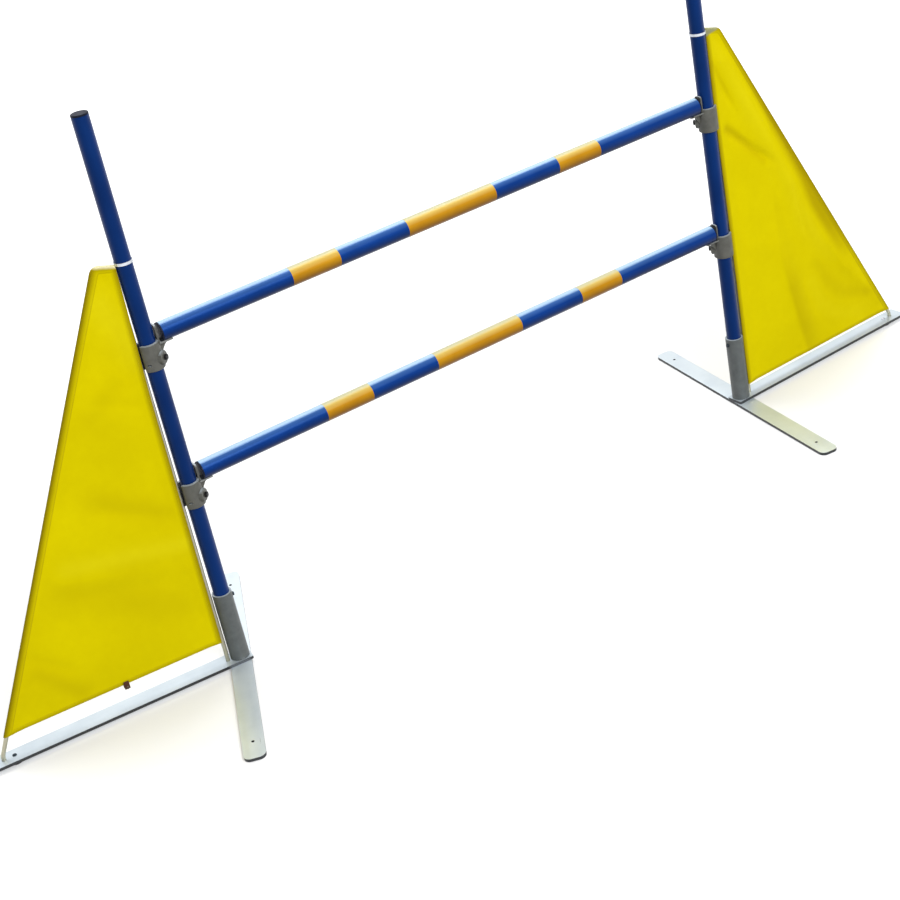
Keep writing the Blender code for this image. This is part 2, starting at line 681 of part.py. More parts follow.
def cup_mesh():
    """Jump cup: slotted collar, upright tongue, curved cradle on a gusset, and a broad clamp boss."""
    edge = COLLAR_RADIUS - COLLAR_CHAMFER
    profile = [(0, COLLAR_BOTTOM), (edge, COLLAR_BOTTOM), (COLLAR_RADIUS, COLLAR_BOTTOM + COLLAR_CHAMFER),
               (COLLAR_RADIUS, COLLAR_TOP - COLLAR_CHAMFER), (edge, COLLAR_TOP), (0, COLLAR_TOP)]
    collar = lathe(profile, 36)
    below = COLLAR_BOTTOM - COLLAR_RADIUS
    above = COLLAR_TOP + COLLAR_RADIUS
    bore = lathe([(0, below), (COLLAR_BORE, below), (COLLAR_BORE, above), (0, above)], 36)
    stand_up(bore, Matrix.Rotation(math.pi / 36, 4, "Z"))
    corner = TONGUE_CORNER
    half = TONGUE_WIDTH / 2
    root = COLLAR_TOP - TONGUE_ROOT
    outline = [(half, root)] + arc((half - corner, TONGUE_TOP - corner), corner, 0, 90, 5)
    outline += arc((-half + corner, TONGUE_TOP - corner), corner, 90, 180, 5) + [(-half, root)]
    across = Matrix(((0, 0, 1, 0), (1, 0, 0, 0), (0, 1, 0, 0), (0, 0, 0, 1)))
    tongue = extrude_outline(outline, TONGUE_THICKNESS)
    stand_up(tongue, Matrix.Translation((TONGUE_PLACE, 0, 0)) @ across)
    rest = BAR_RADIUS + GAP
    start = -90 - CRADLE_ANGLE
    end = -90 + CRADLE_ANGLE
    outline = arc((0, 0), rest + CRADLE_WALL, start, end, 9) + arc((0, 0), rest, end, start, 9)
    root = COLLAR_BORE + CUP_OVERLAP
    cradle = extrude_outline(outline, CRADLE_END - root)
    stand_up(cradle, Matrix.Translation((root, 0, 0)) @ across)
    low = -rest - CRADLE_WALL / 2
    foot = low - GUSSET_DROP
    waist = -rest - CRADLE_WALL - GUSSET_THICKNESS
    outline = [(root, low), (root, foot), (COLLAR_RADIUS + COLLAR_CHAMFER, foot),
               (GUSSET_REACH - GUSSET_WAIST, waist), (GUSSET_REACH, low)]
    side_on = Matrix(((1, 0, 0, 0), (0, 0, -1, GUSSET_THICKNESS / 2), (0, 1, 0, 0), (0, 0, 0, 1)))
    gusset = stand_up(extrude_outline(outline, GUSSET_THICKNESS), side_on)
    radius = BOSS_RADIUS
    boss = lathe([(0, POLE_WALL), (radius, POLE_WALL), (radius, BOSS_END - BOSS_CHAMFER),
                  (radius - BOSS_CHAMFER, BOSS_END), (0, BOSS_END)], 28)
    stand_up(boss, radial(BOSS_TURN, -BOSS_DROP))
    clear = SCREW_RADIUS + GAP
    past = 2 * COLLAR_RADIUS
    screw_hole = lathe([(0, POLE_WALL), (clear, POLE_WALL), (clear, past), (0, past)], 16)
    stand_up(screw_hole, radial(BOSS_TURN, -BOSS_DROP))
    half_slot = COLLAR_SLOT / 2
    slot = box_bmesh((-1.5 * COLLAR_RADIUS, -half_slot, below), (-POLE_WALL, half_slot, above))
    window = box_bmesh((COLLAR_RADIUS / 2, -WINDOW_WIDTH / 2, -WINDOW_HEIGHT / 2),
                       (1.5 * COLLAR_RADIUS, WINDOW_WIDTH / 2, WINDOW_HEIGHT / 2))
    turn = Matrix.Rotation(math.radians(WINDOW_TURN), 4, "Z")
    stand_up(window, Matrix.Translation((0, 0, -WINDOW_DROP)) @ turn)
    return union_all([collar, gusset, cradle, tongue, boss], [bore, screw_hole, slot, window], "jump_cup")


def knob_mesh():
    """Clamp screw with a scalloped knob, along +Z from the pole's surface."""
    tip = POLE_RADIUS + GAP
    base = BOSS_END + GAP
    top = base + KNOB_HEIGHT
    edge = KNOB_HEIGHT / 5
    bm = lathe([(0, tip), (SCREW_RADIUS, tip), (SCREW_RADIUS, base), (KNOB_RADIUS, base),
                (KNOB_RADIUS, top - edge), (KNOB_RADIUS - edge, top), (0, top)], KNOB_LOBES * 5)
    for vert in bm.verts:
        radius = math.hypot(vert.co.x, vert.co.y)
        if radius > SCREW_RADIUS + GAP:
            wave = 1 - KNOB_SCALLOP * (1 - math.cos(KNOB_LOBES * math.atan2(vert.co.y, vert.co.x)))
            vert.co.x *= wave
            vert.co.y *= wave
    return mesh_from(bm, "clamp_knob")


def jump_cup(name, side, centre_x, height, meshes):
    """A cup on its pole, with its clamp knob turning in the boss."""
    carrier = empty(name + "_carrier", None, (centre_x, 0, height), CUP_TURN[side])
    place(name, meshes["cup"], "grey_plastic", carrier)
    pivot = empty(name + "_knob_pivot", carrier)
    pivot.matrix_local = radial(BOSS_TURN, -BOSS_DROP)
    place(name + "_knob", meshes["knob"], "black_plastic", pivot)


def bar_mesh():
    """Tube along X, golden between the band edges and blue elsewhere."""
    half = BAR_LENGTH / 2 - BAR_CAP - GAP
    inner = BAR_RADIUS - BAR_WALL
    edges = [-half, -BAND_OUTER, -BAND_INNER, -BAND_MIDDLE, BAND_MIDDLE, BAND_INNER, BAND_OUTER, half]
    profile = [(BAR_RADIUS, x) for x in edges] + [(inner, half), (inner, -half)]
    bm = stand_up(lathe(profile, 36), Matrix.Rotation(math.pi / 2, 4, "Y"))
    for face in bm.faces:
        centre = face.calc_center_median()
        outside = math.hypot(centre.y, centre.z) > BAR_RADIUS - BAR_WALL / 2
        place_x = abs(centre.x)
        banded = place_x < BAND_MIDDLE or BAND_INNER < place_x < BAND_OUTER
        face.material_index = 1 if outside and banded else 0
    mesh = mesh_from(bm, "jump_bar")
    mesh.materials.append(make_material("blue_bar"))
    mesh.materials.append(make_material("golden_band"))
    return mesh


def bar_cap_mesh():
    """Plug in the bar's open end, its flange at the origin and its stub along +X."""
    bm = lathe(plug_profile(BAR_RADIUS, BAR_RADIUS - BAR_WALL, BAR_CAP, BAR_STUB), 28)
    stand_up(bm, Matrix.Rotation(math.pi / 2, 4, "Y"))
    return mesh_from(bm, "bar_cap")


def jump_bar(name, height, meshes, centre):
    carrier = empty(name + "_carrier", None, (centre, 0, height))
    place(name, meshes["bar"], None, carrier)
    place(name + "_left_cap", meshes["cap"], "black_plastic", carrier, (-BAR_LENGTH / 2, 0, 0))
    place(name + "_right_cap", meshes["cap"], "black_plastic", carrier, (BAR_LENGTH / 2, 0, 0), 180)


def middle_of_hurdle():
    """Shift that puts the origin midway between the two rails' outer ends."""
    reach = {}
    for side in SIDES:
        turn = math.radians(WING_TURN[side])
        half_width = FLAT_WIDTH / 2 - FLAT_CORNER
        reach[side] = RAIL_OUTER * abs(math.cos(turn)) + half_width * abs(math.sin(turn))
    return (reach["left"] - reach["right"]) / 2


def build():
    clear_scene()
    centre = middle_of_hurdle()
    for side in SIDES:
        pole_x = centre + POLE_SPACING / 2 * (1 if side == "right" else -1)
        stand = empty(side + "_stand", None, (pole_x, 0, 0))
        wing = empty(side + "_wing", stand, turn=WING_TURN[side])
        cross_foot(side, stand)
        foot_bolt(side, stand)
        for piece in (base_rail, rail_pad, pad_screw, socket, set_screw, pole, pole_cap, pole_ring,
                      frame_rod, sleeve):
            piece(side, wing)
        if side in STRAPPED_SIDES:
            hem_strap(side, wing)
            hem_stud(side, wing)
    meshes = {"cup": cup_mesh(), "knob": knob_mesh(), "bar": bar_mesh(), "cap": bar_cap_mesh()}
    for level, height in (("upper", UPPER_BAR_HEIGHT), ("lower", LOWER_BAR_HEIGHT)):
        for side in SIDES:
            pole_x = centre + POLE_SPACING / 2 * (1 if side == "right" else -1)
            jump_cup(side + "_" + level + "_cup", side, pole_x, height, meshes)
        jump_bar(level + "_bar", height, meshes, centre)


build()
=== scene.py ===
# %% [markdown]
# # Dog agility hurdle: the looks
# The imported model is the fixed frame. Its tubes, flat bars, mouldings and screws keep their
# shapes and get their finishes here. The taped jump bars, the fabric sleeves with their
# stitches, and the hem strap are made anew, because tape, cloth and webbing show more than
# a plain solid can.

# %% Load the frame
import math

import bmesh
import bpy
import numpy as np
from mathutils import Matrix, Vector


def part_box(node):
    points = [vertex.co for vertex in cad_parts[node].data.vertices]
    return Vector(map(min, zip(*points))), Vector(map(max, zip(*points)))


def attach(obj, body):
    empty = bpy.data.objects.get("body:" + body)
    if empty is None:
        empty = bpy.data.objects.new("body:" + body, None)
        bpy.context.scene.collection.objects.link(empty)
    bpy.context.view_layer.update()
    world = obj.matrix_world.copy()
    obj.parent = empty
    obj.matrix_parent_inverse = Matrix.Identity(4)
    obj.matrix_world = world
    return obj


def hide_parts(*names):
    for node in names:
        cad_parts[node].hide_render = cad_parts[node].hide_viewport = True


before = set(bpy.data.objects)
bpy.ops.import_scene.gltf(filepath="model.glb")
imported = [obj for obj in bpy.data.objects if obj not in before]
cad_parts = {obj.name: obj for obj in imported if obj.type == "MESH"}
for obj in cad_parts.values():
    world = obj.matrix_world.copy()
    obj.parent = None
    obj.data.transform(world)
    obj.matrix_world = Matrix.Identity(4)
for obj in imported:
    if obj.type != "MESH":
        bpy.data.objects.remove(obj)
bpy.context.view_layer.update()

# %% [markdown]
# ## Where things are
# Each wing has its own frame: x runs outwards from the pole's axis along the rail,
# y across the rail and z up. The places could be typed in, but read from the model's poles
# and rail pads, they follow the model. Only the cross feet's angles are written out.

# %% Wing frames
SIDES = ("left", "right")
LEVELS = ("upper", "lower")


def centre_of(node):
    low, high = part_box(node)
    return (Vector(low) + Vector(high)) / 2


POLE = {side: centre_of(side + "_pole") for side in SIDES}
WING_TURN = {}
for side in SIDES:
    run = centre_of(side + "_rail_pad") - POLE[side]
    WING_TURN[side] = math.atan2(run.y, run.x)
FOOT_TURN = {"left": math.radians(-22.95), "right": math.radians(-7.28)}


def wing_matrix(side):
    place = Matrix.Translation((POLE[side].x, POLE[side].y, 0))
    return place @ Matrix.Rotation(WING_TURN[side], 4, "Z")


print({side: round(math.degrees(WING_TURN[side]), 2) for side in SIDES})

# %% [markdown]
# ## The camera
# The photograph was taken with a long lens from the left front, at a standing person's eye
# height. A constraint could aim a camera at the hurdle's middle, but a real one is also
# rolled a little. So its place and its three axes were solved from the photograph, and the
# axes are the columns of its matrix.

# %% Camera
SOLVED_POLE = -0.624
EYE = Vector((POLE["left"].x - SOLVED_POLE - 1.50428, -2.64701, 1.81450))
LENS = 70.176
SENSOR = 36.0
FARTHEST = 60.0
RIGHT = Vector((0.8178727, -0.54523846, -0.18384576))
DOWN = Vector((-0.4002739, -0.30959565, -0.86251455))
FORWARD = Vector((0.41335826, 0.77901576, -0.47145455))

lens = bpy.data.cameras.new("photo_camera")
lens.lens = LENS
lens.sensor_width = SENSOR
lens.clip_end = FARTHEST
camera = bpy.data.objects.new("photo_camera", lens)
bpy.context.scene.collection.objects.link(camera)
turn = Matrix((RIGHT, -DOWN, -FORWARD)).transposed()
camera.matrix_world = Matrix.Translation(EYE) @ turn.to_4x4()
bpy.context.scene.camera = camera
print("camera at", tuple(round(v, 3) for v in EYE))

# %% [markdown]
# ## Material helpers
# A finish is a tree of nodes, which could be wired by hand in the shader editor. In a script
# each node and link takes a few lines, so short methods make, set and join them, and the
# finishes below stay short enough to read. In each finish, n holds these methods.

# %% Node helpers


def srgb(r, g, b):
    """Colour as seen on a screen, 0 to 255, to the linear values of a shader."""
    out = []
    for value in (r, g, b):
        value = value / 255
        out.append(value / 12.92 if value <= 0.04045 else ((value + 0.055) / 1.055) ** 2.4)
    return (*out, 1.0)


class Nodes:
    """A material with its Principled shader, and short calls to add to it."""

    def __init__(self, name, colour, roughness, metallic, specular=0.5):
        self.material = bpy.data.materials.new(name)
        self.material.use_nodes = True
        self.tree = self.material.node_tree
        self.shader = self.tree.nodes["Principled BSDF"]
        self.shader.inputs["Base Color"].default_value = colour
        self.shader.inputs["Roughness"].default_value = roughness
        self.shader.inputs["Metallic"].default_value = metallic
        self.shader.inputs["Specular IOR Level"].default_value = specular
        self.coords = self.tree.nodes.new("ShaderNodeTexCoord").outputs["Object"]

    def add(self, kind, values=None, **links):
        """Make a node, set its properties or input values, and link sockets to its inputs."""
        node = self.tree.nodes.new(kind)
        for key, value in (values or {}).items():
            if hasattr(node, key):
                setattr(node, key, value)
            else:
                node.inputs[key].default_value = value
        for key, socket in links.items():
            self.tree.links.new(socket, node.inputs[key.replace("_", " ")])
        return node

    def join(self, socket, target):
        self.tree.links.new(socket, self.shader.inputs[target])

    def mapped(self, scale, turn=0.0):
        """Object coordinates, turned about the vertical and stretched."""
        turned = self.add("ShaderNodeVectorRotate", {"rotation_type": "Z_AXIS", "Angle": -turn},
                          Vector=self.coords)
        node = self.add("ShaderNodeMapping", {"Scale": scale}, Vector=turned.outputs[0])
        return node.outputs[0]

    def noise(self, scale, detail=3.0, roughness=0.5, vector=None):
        node = self.add("ShaderNodeTexNoise", {"Scale": scale, "Detail": detail, "Roughness": roughness},
                        Vector=vector or self.coords)
        return node.outputs["Fac"]

    def span(self, value, low, high, to_low=0.0, to_high=1.0):
        """Rescale a value from one range to another, kept within it."""
        node = self.add("ShaderNodeMapRange", {"From Min": low, "From Max": high,
                                               "To Min": to_low, "To Max": to_high}, Value=value)
        return node.outputs[0]

    def mix(self, share, first, second):
        """Mix two colours, or two sockets, by a share."""
        node = self.tree.nodes.new("ShaderNodeMix")
        node.data_type = "RGBA"
        for index, item in ((0, share), (6, first), (7, second)):
            if isinstance(item, (int, float, tuple)):
                node.inputs[index].default_value = item
            else:
                self.tree.links.new(item, node.inputs[index])
        return node.outputs[2]

    def math(self, operation, first, second=0.0):
        node = self.tree.nodes.new("ShaderNodeMath")
        node.operation = operation
        for index, item in ((0, first), (1, second)):
            if isinstance(item, (int, float)):
                node.inputs[index].default_value = item
            else:
                self.tree.links.new(item, node.inputs[index])
        return node.outputs[0]

    def upward(self):
        """How far a face looks up: 1 where it is level, 0 where it is upright, -1 below."""
        normal = self.add("ShaderNodeNewGeometry").outputs["Normal"]
        return self.add("ShaderNodeSeparateXYZ", Vector=normal).outputs["Z"]

    def attribute(self, name):
        return self.add("ShaderNodeAttribute", {"attribute_name": name}).outputs["Fac"]

    def bump(self, height, strength, distance, after=None):
        """Fine relief from a height, on top of an earlier relief if there is one."""
        node = self.add("ShaderNodeBump", {"Strength": strength, "Distance": distance}, Height=height)
        if after is not None:
            self.tree.links.new(after, node.inputs["Normal"])
        self.join(node.outputs[0], "Normal")
        return node.outputs[0]


def dress(node, material):
    """Give a piece of the model its finish in place of its plain colour."""
    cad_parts[node].material_slots[0].material = material


print("node helpers ready")

# %% [markdown]
# ## Blue paint on the poles
# The poles are tube with a satin dark blue paint. One plain colour would do from afar, but
# painted tube has cloudy patches, a faint orange peel, and streaks along it where the cups
# slide. All three are noise on the piece's own coordinates, and the noise for the streaks
# is stretched upwards.

# %% Pole paint


def pole_paint():
    n = Nodes("blue_pole_paint", srgb(14, 46, 112), 0.34, 0.0, 0.35)
    n.shader.inputs["Specular Tint"].default_value = (0.12, 0.32, 1.0, 1.0)
    cloud = n.noise(9.0, 4.0)
    n.join(n.mix(n.span(cloud, 0.35, 0.65), srgb(5, 33, 84), srgb(8, 42, 100)), "Base Color")
    rubs = n.noise(60.0, 5.0, 0.65, n.mapped((1, 1, 0.05)))
    n.join(n.span(rubs, 0.3, 0.7, 0.28, 0.44), "Roughness")
    n.bump(n.noise(260.0, 2.0), 0.10, 0.0004)
    return n.material


POLE_PAINT = pole_paint()
for side in SIDES:
    dress(side + "_pole", POLE_PAINT)
print("poles painted")

# %% [markdown]
# ## Jump bars
# Each bar is a blue plastic tube with three wraps of golden tape. The tube could be a plain
# cylinder with painted bands, but real tape stands a little proud and has crisp ends, so
# the tube is cut at each band's ends and the band's faces are raised by the tape's thickness.
# Both finishes are glossy, with a painted highlight that makes faces which look up paler, and a
# painted shade that makes them darker below. BANDS gives where the wraps start and end, from the bar's
# middle.

# %% Bar finishes


def glossy(name, first, second, tint, top, under, roughness):
    """A gloss with fine scratches along the bar.

    top gives the painted highlight: how far the upper side turns paler, to which colour, and the colour of
    the topmost strip; under is the colour of the painted shade below.
    """
    n = Nodes(name, first, 0.18, 0.0, 0.4)
    n.shader.inputs["Specular Tint"].default_value = tint
    cloud = n.noise(16.0, 3.0)
    colour = n.mix(n.span(cloud, 0.3, 0.7), first, second)
    streak = n.math("SUBTRACT", n.noise(34.0, 4.0, 0.6, n.mapped((0.08, 1, 1))), 0.5)
    upward = n.math("ADD", n.upward(), n.math("MULTIPLY", streak, 0.10))
    # painted highlight on the upper side and painted shade below, by how far a face looks up
    share, painted_paler_top, painted_top_highlight = top
    colour = n.mix(n.span(upward, 0.42, 0.86, 0.0, share), colour, painted_paler_top)
    colour = n.mix(n.span(upward, 0.84, 0.99, 0.0, 0.9), colour, painted_top_highlight)
    colour = n.mix(n.span(upward, 0.30, -0.45, 0.0, 0.85), colour, under)
    n.join(colour, "Base Color")
    scuff = n.noise(120.0, 4.0, 0.6, n.mapped((0.06, 1, 1)))
    n.join(n.span(scuff, 0.3, 0.7, roughness, roughness + 0.08), "Roughness")
    n.bump(n.math("ADD", n.noise(180.0, 2.0), n.math("MULTIPLY", scuff, 0.6)), 0.10, 0.0003)
    return n.material


# each bar colour ends with a pale painted highlight on top and a dark painted shade below
BAR_BLUE = glossy("bar_blue", srgb(5, 44, 112), srgb(7, 52, 128), (0.12, 0.34, 1.0, 1.0),
                  (0.36, srgb(90, 134, 184), srgb(176, 204, 222)), srgb(5, 18, 50), 0.27)
TAPE_GOLD = glossy("golden_tape", srgb(180, 124, 8), srgb(196, 140, 16), (1.0, 0.72, 0.25, 1.0),
                   (0.62, srgb(204, 190, 112), srgb(184, 184, 150)), srgb(120, 76, 4), 0.28)
print("bar finishes:", BAR_BLUE.name, TAPE_GOLD.name)

# %% Taped bars
TAPE = 0.00014
TUBE_WALL = 0.002
TUBE_SIDES = 64
BAR_SMOOTH = math.radians(35)
BANDS = {"upper": (-0.341, -0.242, -0.096, 0.099, 0.247, 0.346),
         "lower": (-0.339, -0.2395, -0.094, 0.103, 0.250, 0.3495)}


def finish_with(item, kind, **settings):
    """Add a modifier with these settings to the active object and apply it."""
    modifier = item.modifiers.new(kind.lower(), kind)
    for key, value in settings.items():
        setattr(modifier, key, value)
    bpy.ops.object.modifier_apply(modifier=modifier.name)


def taped_bar(level):
    low, high = (Vector(corner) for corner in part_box(level + "_bar"))
    centre = (low + high) / 2
    bpy.ops.object.select_all(action="DESELECT")
    bpy.ops.mesh.primitive_cylinder_add(
        vertices=TUBE_SIDES, radius=(high.z - low.z) / 2, depth=high.x - low.x,
        end_fill_type="NOTHING", location=centre, rotation=(0, math.pi / 2, 0))
    bar = bpy.context.object
    bar.name = level + "_taped_bar"
    bpy.ops.object.transform_apply(location=True, rotation=True, scale=True)
    bar.data.materials.append(BAR_BLUE)
    bar.data.materials.append(TAPE_GOLD)
    bpy.ops.object.mode_set(mode="EDIT")
    for place in BANDS[level]:
        bpy.ops.mesh.select_all(action="SELECT")
        bpy.ops.mesh.bisect(plane_co=(centre.x + place, 0, 0), plane_no=(1, 0, 0))
    bpy.ops.mesh.select_all(action="DESELECT")
    bpy.ops.mesh.select_mode(type="FACE")
    bpy.ops.object.mode_set(mode="OBJECT")
    ends = BANDS[level]
    for face in bar.data.polygons:
        place = face.center.x - centre.x
        face.select = any(a < place < b for a, b in zip(ends[0::2], ends[1::2]))
    bpy.ops.object.mode_set(mode="EDIT")
    bar.active_material_index = 1
    bpy.ops.object.material_slot_assign()
    bpy.ops.mesh.extrude_region_shrink_fatten(TRANSFORM_OT_shrink_fatten={"value": TAPE})
    bpy.ops.object.mode_set(mode="OBJECT")
    finish_with(bar, "SOLIDIFY", thickness=TUBE_WALL, offset=-1.0)
    bpy.ops.object.shade_smooth_by_angle(angle=BAR_SMOOTH)
    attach(bar, level + "_bar_lifted")
    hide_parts(level + "_bar")
    return bar


for level in LEVELS:
    bar = taped_bar(level)
    print(bar.name, len(bar.data.polygons), "faces,", [m.name for m in bar.data.materials])

# %% [markdown]
# ## Flat aluminium
# Rails and feet are drawn flat bar, with long fine lines along it, a satin gloss and a few
# handling marks. An anisotropic gloss would stretch the highlights but show no lines. So
# noise stretched along each bar drives its roughness and a faint relief. The narrow sides
# get a dark grey, a painted shade, as in the photograph, and the feet a paler copy of the
# rails' colour, a painted highlight.

# %% Aluminium


def aluminium(name, turn, light, shade):
    n = Nodes(name, light, 0.32, 0.5)
    lines = n.noise(90.0, 4.0, 0.7, n.mapped((0.02, 1, 1), turn))
    marks = n.noise(14.0, 5.0, 0.6)
    flat = n.mix(n.span(marks, 0.35, 0.75), light, shade)
    # painted shade: faces that are not level get a dark grey in place of the aluminium
    top = n.span(n.math("ABSOLUTE", n.upward()), 0.45, 0.8)
    n.join(n.mix(top, srgb(58, 60, 63), flat), "Base Color")
    n.join(n.span(lines, 0.25, 0.75, 0.27, 0.40), "Roughness")
    n.bump(lines, 0.10, 0.0003)
    return n.material


for side in SIDES:
    dress(side + "_base_rail", aluminium(side + "_rail_aluminium", WING_TURN[side],
                                         srgb(202, 212, 218), srgb(186, 197, 205)))
    # the feet's paler aluminium is a painted highlight over the rails' colour
    dress(side + "_cross_foot", aluminium(side + "_foot_aluminium", FOOT_TURN[side] + math.pi / 2,
                                          srgb(220, 230, 236), srgb(206, 217, 226)))
print("rails and feet done")

# %% [markdown]
# ## Grey and black plastic
# The cups are a matt grey moulding with a fine grain, the sockets are painted tube, and the
# knobs, caps and pads are black. Each could have its own tree of nodes, but they differ only
# in colour, gloss and grain, so one function makes them all. Faces that look up can get a
# paler colour, a painted highlight.

# %% Greys


def moulding(name, dark, light, roughness, grain, top=None, specular=0.5):
    """A grained plastic; top is the colour of a painted highlight on its upward faces."""
    n = Nodes(name, dark, roughness, 0.0, specular)
    cloud = n.noise(55.0, 4.0, 0.6)
    colour = n.mix(n.span(cloud, 0.3, 0.7), dark, light)
    # painted highlight: faces that look up turn paler
    if top:
        colour = n.mix(n.span(n.upward(), 0.55, 0.95, 0.0, 0.9), colour, top)
    n.join(colour, "Base Color")
    n.join(n.span(n.noise(140.0, 3.0), 0.3, 0.7, roughness - 0.06, roughness + 0.08), "Roughness")
    n.bump(n.noise(grain, 2.0, 0.7), 0.22, 0.0003)
    return n.material


# the last colour of the cups and the sockets is a painted highlight on their upward faces
CUP_GREY = moulding("cup_grey", srgb(70, 70, 64), srgb(90, 90, 83), 0.46, 900.0, srgb(164, 172, 176))
SOCKET_GREY = moulding("socket_grey", srgb(76, 81, 81), srgb(90, 95, 95), 0.44, 420.0, srgb(170, 180, 186))
BLACK = moulding("black_moulding", srgb(16, 16, 17), srgb(28, 28, 29), 0.42, 700.0, specular=0.18)
CAP_BLACK = moulding("cap_black", srgb(12, 16, 30), srgb(20, 26, 44), 0.40, 700.0, specular=0.10)
RUBBER = moulding("black_rubber", srgb(22, 22, 22), srgb(36, 35, 34), 0.72, 500.0)
print("plastics:", [finish.name for finish in (CUP_GREY, SOCKET_GREY, BLACK, CAP_BLACK, RUBBER)])

# %% [markdown]
# ## Small metal pieces
# The rings, the foot bolts and the right pad screw are zinc plated, the frame rods are bare
# steel with a cream tint, a painted reflection of the yellow cloth, and the set screws, the left
# pad screw and the stud are dull. An even metal looks like chrome, so fine noise varies its colour and its
# roughness.
# On the rods the noise is stretched upwards.

# %% Metals


def metal(name, colour, roughness, streak=(1, 1, 1)):
    n = Nodes(name, colour, roughness, 1.0)
    fine = n.noise(220.0, 4.0, 0.65, n.mapped(streak))
    darker = (*(0.8 * value for value in colour[:3]), 1.0)
    n.join(n.mix(n.span(fine, 0.25, 0.75), colour, darker), "Base Color")
    n.join(n.span(fine, 0.25, 0.75, roughness - 0.07, roughness + 0.1), "Roughness")
    n.bump(fine, 0.1, 0.0002)
    return n.material


ZINC = metal("zinc_plate", srgb(196, 200, 206), 0.32)
# the rod's cream tint is a painted reflection of the yellow cloth
ROD_STEEL = metal("rod_steel", srgb(184, 180, 158), 0.38, (1, 1, 0.05))
STUD_METAL = metal("dark_stud", srgb(92, 78, 66), 0.40)
DULL_METAL = metal("dull_screw", srgb(52, 60, 66), 0.55)
print("metals:", [finish.name for finish in (ZINC, ROD_STEEL, STUD_METAL, DULL_METAL)])

# %% [markdown]
# ## Finishes on the small pieces
# Each small piece of the model has one slot for a material. The slots could be filled by
# hand, but both stands carry the same pieces, so a loop goes through the endings of their
# names. The stud and the dull pad screw, which only the left side has, come after it.

# %% Small pieces
STAND_FINISHES = {"_socket": SOCKET_GREY, "_pole_cap": CAP_BLACK, "_rail_pad": RUBBER,
                  "_pole_ring": ZINC, "_foot_bolt": ZINC, "_pad_screw": ZINC,
                  "_frame_rod": ROD_STEEL, "_set_screw": DULL_METAL}
for side in SIDES:
    for ending, finish in STAND_FINISHES.items():
        dress(side + ending, finish)
    for level in LEVELS:
        dress(side + "_" + level + "_cup", CUP_GREY)
        dress(side + "_" + level + "_cup_knob", BLACK)
        dress(level + "_bar_" + side + "_cap", CAP_BLACK)
dress("left_hem_stud", STUD_METAL)
dress("left_pad_screw", DULL_METAL)
print("greys, blacks and metals done")

# %% [markdown]
# ## The sleeves' outline
# A sleeve is a flat bag of cloth pulled down over the bent rod. Its outline could be drawn
# by hand, but it has to follow the rod, so these functions work it out in the wing's frame:
# the slanted outer edge rounds the rod's corner, and the inner edge runs beside the pole.
# The rod's places are those of the model. BESIDE_POLE gives, from the floor up, a height
# and how far from the pole's axis the cloth ends there.

# %% Rod
SLEEVE_TOP = {"left": 0.8165, "right": 0.8225}
TOP_SLOPE = {"left": 0.30, "right": -0.28}
HEM = {"left": 0.056, "right": 0.0325}
TOP_INNER = 0.0170
ROD_TOP_PLACE = 0.0209
ROD_FOOT_PLACE = 0.0245
ROD_TOP_OUTER = 0.0514
ROD_FOOT_OUTER = 0.462
ROD_FOOT_BEND = 0.0195
ROD_BEND = 0.0112
CHANNEL = 0.0055
TOP_EASE = 0.0002


def rod_place(z):
    """Distance of the rod's upright run from the pole's axis."""
    return ROD_FOOT_PLACE + (ROD_TOP_PLACE - ROD_FOOT_PLACE) * z / SLEEVE_TOP["left"]


def rod_run(side):
    """The rod's inner top, outer top and foot corners."""
    slope = TOP_SLOPE[side]

    def top(x):
        return SLEEVE_TOP[side] + slope * (x - TOP_INNER) - CHANNEL - TOP_EASE
    inner = Vector((ROD_TOP_PLACE, top(ROD_TOP_PLACE)))
    outer = Vector((ROD_TOP_OUTER, top(ROD_TOP_OUTER)))
    return inner, outer, Vector((ROD_FOOT_OUTER, ROD_FOOT_BEND))


print("rod corners:", {side: rod_run(side) for side in SIDES})

# %% Outline
BESIDE_POLE = {"left": [(0.03, 0.0272), (0.15, 0.0262), (0.28, 0.0252), (0.40, 0.0240),
                        (0.565, 0.0226), (0.70, 0.0188), (0.78, 0.0163), (0.83, 0.0161)],
               "right": [(0.03, 0.0216), (0.14, 0.0208), (0.28, 0.0206), (0.44, 0.0190),
                         (0.57, 0.0174), (0.68, 0.0168), (0.80, 0.0168), (0.83, 0.0170)]}
WIDEST = 0.6
HALVINGS = 30


def outer_edge(side, level, rise):
    """Where a line that rises outwards from the inner edge leaves the sleeve."""
    inner, corner, foot = rod_run(side)
    back = (inner - corner).normalized()
    down = (foot - corner).normalized()
    bend = corner + (back + down).normalized() * ROD_BEND / math.sin(back.angle(down) / 2)
    upwards = Vector((back.y, -back.x))
    outwards = Vector((-down.y, down.x))
    limit = ROD_BEND + CHANNEL
    low, high = TOP_INNER, WIDEST
    for _ in range(HALVINGS):
        x = (low + high) / 2
        away = Vector((x, level + rise * (x - TOP_INNER))) - bend
        if away.dot(down) > 0:
            distance = away.dot(outwards)
        elif away.dot(back) > 0:
            distance = away.dot(upwards)
        else:
            distance = away.length
        if distance < limit:
            low = x
        else:
            high = x
    return low


def inner_edge(side, z):
    """The cloth's edge beside the pole, which lies over the rod and hides more of it higher up."""
    heights, places = zip(*BESIDE_POLE[side])
    return float(np.interp(z, heights, places))


print("hem widths:", [round(outer_edge(s, HEM[s], 0) - inner_edge(s, HEM[s]), 4) for s in SIDES])

# %% [markdown]
# ## The sleeves' folds
# Pulled cloth has few folds, and each one starts at something that pulls. On the right
# sleeve a ridge runs down from the rod's corner, and the strip beyond it falls back to the
# outer edge. The left sleeve has shallow sags. Each fold is a soft bump or hollow along a
# path in the wing's frame, raised towards the front. That is quicker to place than a
# simulation and gives the same folds every time.

